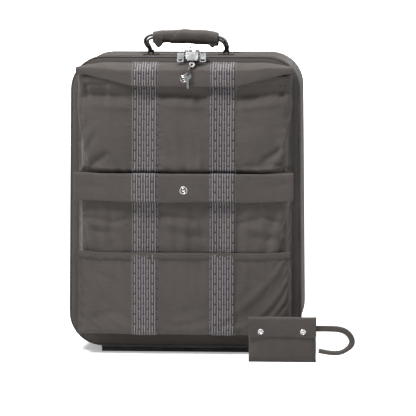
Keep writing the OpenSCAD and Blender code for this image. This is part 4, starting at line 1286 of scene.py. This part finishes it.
def pouchFlapLine(x):
    # the flap's path from the hinge at the back, over the top and down the front
    front = pouchFlapLow.y + 0.0007
    back = pouchFlapHigh.y - 0.0006
    top = pouchFlapHigh.z - 0.0004
    drop = pouchFlapLow.z + 0.0008 + 0.0007 * math.sin(x * 90)
    lift = 0.0006 * ripple((x, 0, 0), 0.03, 33)
    return softPath([(x, back, top - 0.004), (x, back - 0.0004, top - 0.0014),
                     (x, (front + back) / 2, top + lift),
                     (x, front + 0.0010, top - 0.0014), (x, front, top - 0.006),
                     (x, front - lift, top - 0.018),
                     (x, front + 0.0012 + lift, drop)], 6)


def buildPouchFlap():
    cols = 52
    lines = [pouchFlapLine(pouchMid.x + (pouchHalf + 0.0004) * (c / (cols - 1) * 2 - 1)) for c in range(cols)]
    rows = [[line[r] for line in lines] for r in range(len(lines[0]))]
    flap = gridPiece("pouchFlapCloth", rows[::-1], pouchClothLook)
    addModifier(flap, "SOLIDIFY", thickness=0.0014, offset=0)
    addModifier(flap, "BEVEL", width=0.0004, segments=2)
    freeze(flap)
    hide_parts("pouch_flap")
    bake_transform(flap)
    runs = [[line[-2] + Vector((0, -0.0009, 0.0018)) for line in lines[2:-2]],
            [p + Vector((0.0022, -0.0009, 0)) for p in lines[0][24:-2]],
            [p + Vector((-0.0022, -0.0009, 0)) for p in lines[-1][24:-2]]]
    attach(stitchPiece("pouchFlapStitches", runs, pouchThread, pitch=0.0036, length=0.0026, radius=0.0003),
           "pouch_flap", "webbing")
    low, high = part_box("pouch_snap_caps")
    for word, x in (("Left", low.x + 0.0045), ("Right", high.x - 0.0045)):
        spot = min((p for line in lines for p in line[24:]),
                   key=lambda p: (p.x - x) ** 2 + (p.z - (low.z + high.z) / 2) ** 2)
        snapPiece("pouchSnap" + word, Vector((x, spot.y - 0.0006, (low.z + high.z) / 2)), (0, -1, 0), 0.0046,
                  "pouch_flap", *(["pouch_snap_caps"] if word == "Left" else []))


def buildPouchStrap():
    low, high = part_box("pouch_strap")
    y = (low.y + high.y) / 2
    reach, width = high.x, pouch["strapWide"] / 2
    top, foot = high.z - width, low.z + width
    line = [(pouchHigh.x - 0.002, top), (pouchHigh.x + 0.014, top + 0.0004), (reach - 0.023, top - 0.0008),
            (reach - 0.0105, top - 0.0068), (reach - 0.0042, top - 0.0180), (reach - 0.0075, top - 0.0275),
            (reach - 0.020, foot + 0.0004), (reach - 0.034, foot - 0.0012),
            (pouchHigh.x + 0.004, foot + 0.0018)]
    path = resample(softPath([(x, y, z) for x, z in line]), 0.0016)

    def facing(p):
        lean = 0.95 * smoothStep(top - 0.008, foot + 0.001, p.z)
        return (0, -math.cos(lean), math.sin(lean))

    strap = sweepPiece("pouchStrap", path, flatSection(pouch["strapWide"], pouch["strapThick"], 0.0003),
                       pouchClothLook, up=facing)
    attach(strap, "pouch", "cloth", "pouch_strap")
    runs = []
    for side in (-1, 1):
        run = []
        for a, b in zip(path[1:-1], path[2:]):
            out = Vector(facing(a))
            across = (b - a).normalized().cross(out).normalized()
            run.append(a + out * (pouch["strapThick"] / 2 + 0.0002)
                       + across * side * (pouch["strapWide"] / 2 - 0.0016))
        runs.append(run)
    attach(stitchPiece("pouchStrapStitches", runs, pouchThread, pitch=0.0036, length=0.0026, radius=0.0003,
                       facing=facing), "pouch", "webbing")


pouchTone = tint(taupe, 0.86)
pouchClothLook = clothMaterial("pouchCloth", pouchTone, 0.0012, 0.00025)
pouchThread = clothMaterial("pouchThread", tint(pouchTone, 0.8), 0.0006, 0.0001, rough=0.6)
buildPouch()
buildPouchFlap()
buildPouchStrap()
print("pouch made")


# ---- carried parts ----

looks = (
    (chrome, 0.0004, ("zip_slider_left", "zip_slider_right", "zip_pull_left", "zip_pull_right", "padlock_body",
                      "padlock_shackle", "lock_key", "spare_key")),
    (snapMetal, 0.0002, ("snap_studs", "pouch_snap_studs", "wheel_axles")),
    (plastic, 0.0008, ("base_plate", "wheel_housings", "handle_cup", "trolley_grip", "handle_anchors",
                       "wheel_hub_left", "wheel_hub_right")),
    (rubber, 0.0005, ("front_foot", "release_button")),
    (tyreRubber, 0.0010, ("wheel_tyre_left", "wheel_tyre_right")),
    (alloy, 0.0003, ("tube_outer", "tube_middle", "tube_inner")),
    (liningCloth, 0.0, ("back_board",)))


def dressNodes():
    for look, width, names in looks:
        for name in names:
            piece = nodes[name]
            if not piece.data.materials:
                piece.data.materials.append(look)
            for place in piece.material_slots:
                place.link = "OBJECT"
                place.material = look
            if width:
                addModifier(piece, "BEVEL", width=width, segments=2, limit_method="ANGLE", angle_limit=0.6,
                            use_clamp_overlap=True, harden_normals=False)


dressNodes()
left = sorted(set(nodes) - {n for row in looks for n in row[2]})
print("carried parts dressed; every other CAD part stands behind a piece:", len(left))


# ---- floor, light and camera ----

studio = {"floorColour": (0.93, 0.93, 0.93), "glow": 0.36, "farGlow": 0.32, "backdrop": 1.25, "ambient": 0.28,
          "skyLift": 1.1, "target": (0.036, -0.088, 0.228), "distance": 4.6, "azimuth": 3.7, "elevation": 5.6,
          "frameWidth": 0.653}
lamps = (("key", (-1.0, -1.15, 2.7), 0.7, 112), ("fill", (2.0, -2.6, 1.0), 1.4, 8),
         ("top", (0.25, 0.35, 2.6), 1.0, 44))


def setStage():
    scene.view_settings.view_transform = "Standard"
    floorMaterial, tree, shader = newMaterial("paleFloor")
    setShader(shader, Base_Color=(*studio["floorColour"], 1), Roughness=0.8, Specular_IOR_Level=0.1,
              Emission_Color=(1, 1, 1, 1), Emission_Strength=studio["glow"])
    # the floor glows a little more with distance, so that it meets the backdrop
    far = addNode(tree, "VectorMath", {0: addNode(tree, "TexCoord").outputs["Object"]},
                  operation="LENGTH").outputs[1]
    glow = calc(tree, "MULTIPLY_ADD", calc(tree, "MAXIMUM", calc(tree, "SUBTRACT", far, 0.35), 0.0),
                studio["farGlow"], studio["glow"])
    seen = addNode(tree, "LightPath").outputs["Is Camera Ray"]
    tree.links.new(calc(tree, "MULTIPLY", glow, seen), shader.inputs["Emission Strength"])
    size = 12.0
    floor = newPiece("floor", [(-size, -size, 0), (size, -size, 0), (size, size, 0), (-size, size, 0)],
                     [(0, 1, 2, 3)], floorMaterial, smooth=False)
    # the backdrop is seen bright, and lights the bag only softly
    world = bpy.data.worlds.new("studioWorld")
    scene.world = world
    world.use_nodes = True
    tree = world.node_tree
    seen = addNode(tree, "LightPath").outputs["Is Camera Ray"]
    height = addNode(tree, "SeparateXYZ", {0: addNode(tree, "TexCoord").outputs["Generated"]}).outputs[2]
    sky = calc(tree, "MULTIPLY", calc(tree, "MULTIPLY_ADD", height, studio["skyLift"], 0.45),
               studio["ambient"])
    shaded = calc(tree, "MULTIPLY", calc(tree, "MAXIMUM", sky, 0.02), calc(tree, "SUBTRACT", 1.0, seen))
    strength = calc(tree, "MULTIPLY_ADD", seen, studio["backdrop"], shaded)
    tree.links.new(strength, tree.nodes["Background"].inputs["Strength"])
    tree.nodes["Background"].inputs["Color"].default_value = (1, 1, 1, 1)
    for name, place, size, power in lamps:
        light = bpy.data.lights.new(name, "AREA")
        light.size = size
        light.energy = power
        lamp = bpy.data.objects.new(name, light)
        lamp.location = place
        lamp.rotation_euler = (Vector((0, 0, 0.22)) - Vector(place)).to_track_quat("-Z", "Y").to_euler()
        scene.collection.objects.link(lamp)
    camera = bpy.data.cameras.new("camera")
    eye = bpy.data.objects.new("camera", camera)
    scene.collection.objects.link(eye)
    target = Vector(studio["target"])
    turn, rise = math.radians(studio["azimuth"]), math.radians(studio["elevation"])
    eye.location = target + Vector((math.sin(turn) * math.cos(rise), -math.cos(turn) * math.cos(rise),
                                    math.sin(rise))) * studio["distance"]
    eye.rotation_euler = (target - eye.location).to_track_quat("-Z", "Y").to_euler()
    camera.sensor_width = 36
    camera.lens = 36 * (target - eye.location).length / studio["frameWidth"]
    scene.camera = eye


setStage()
print("stage ready")
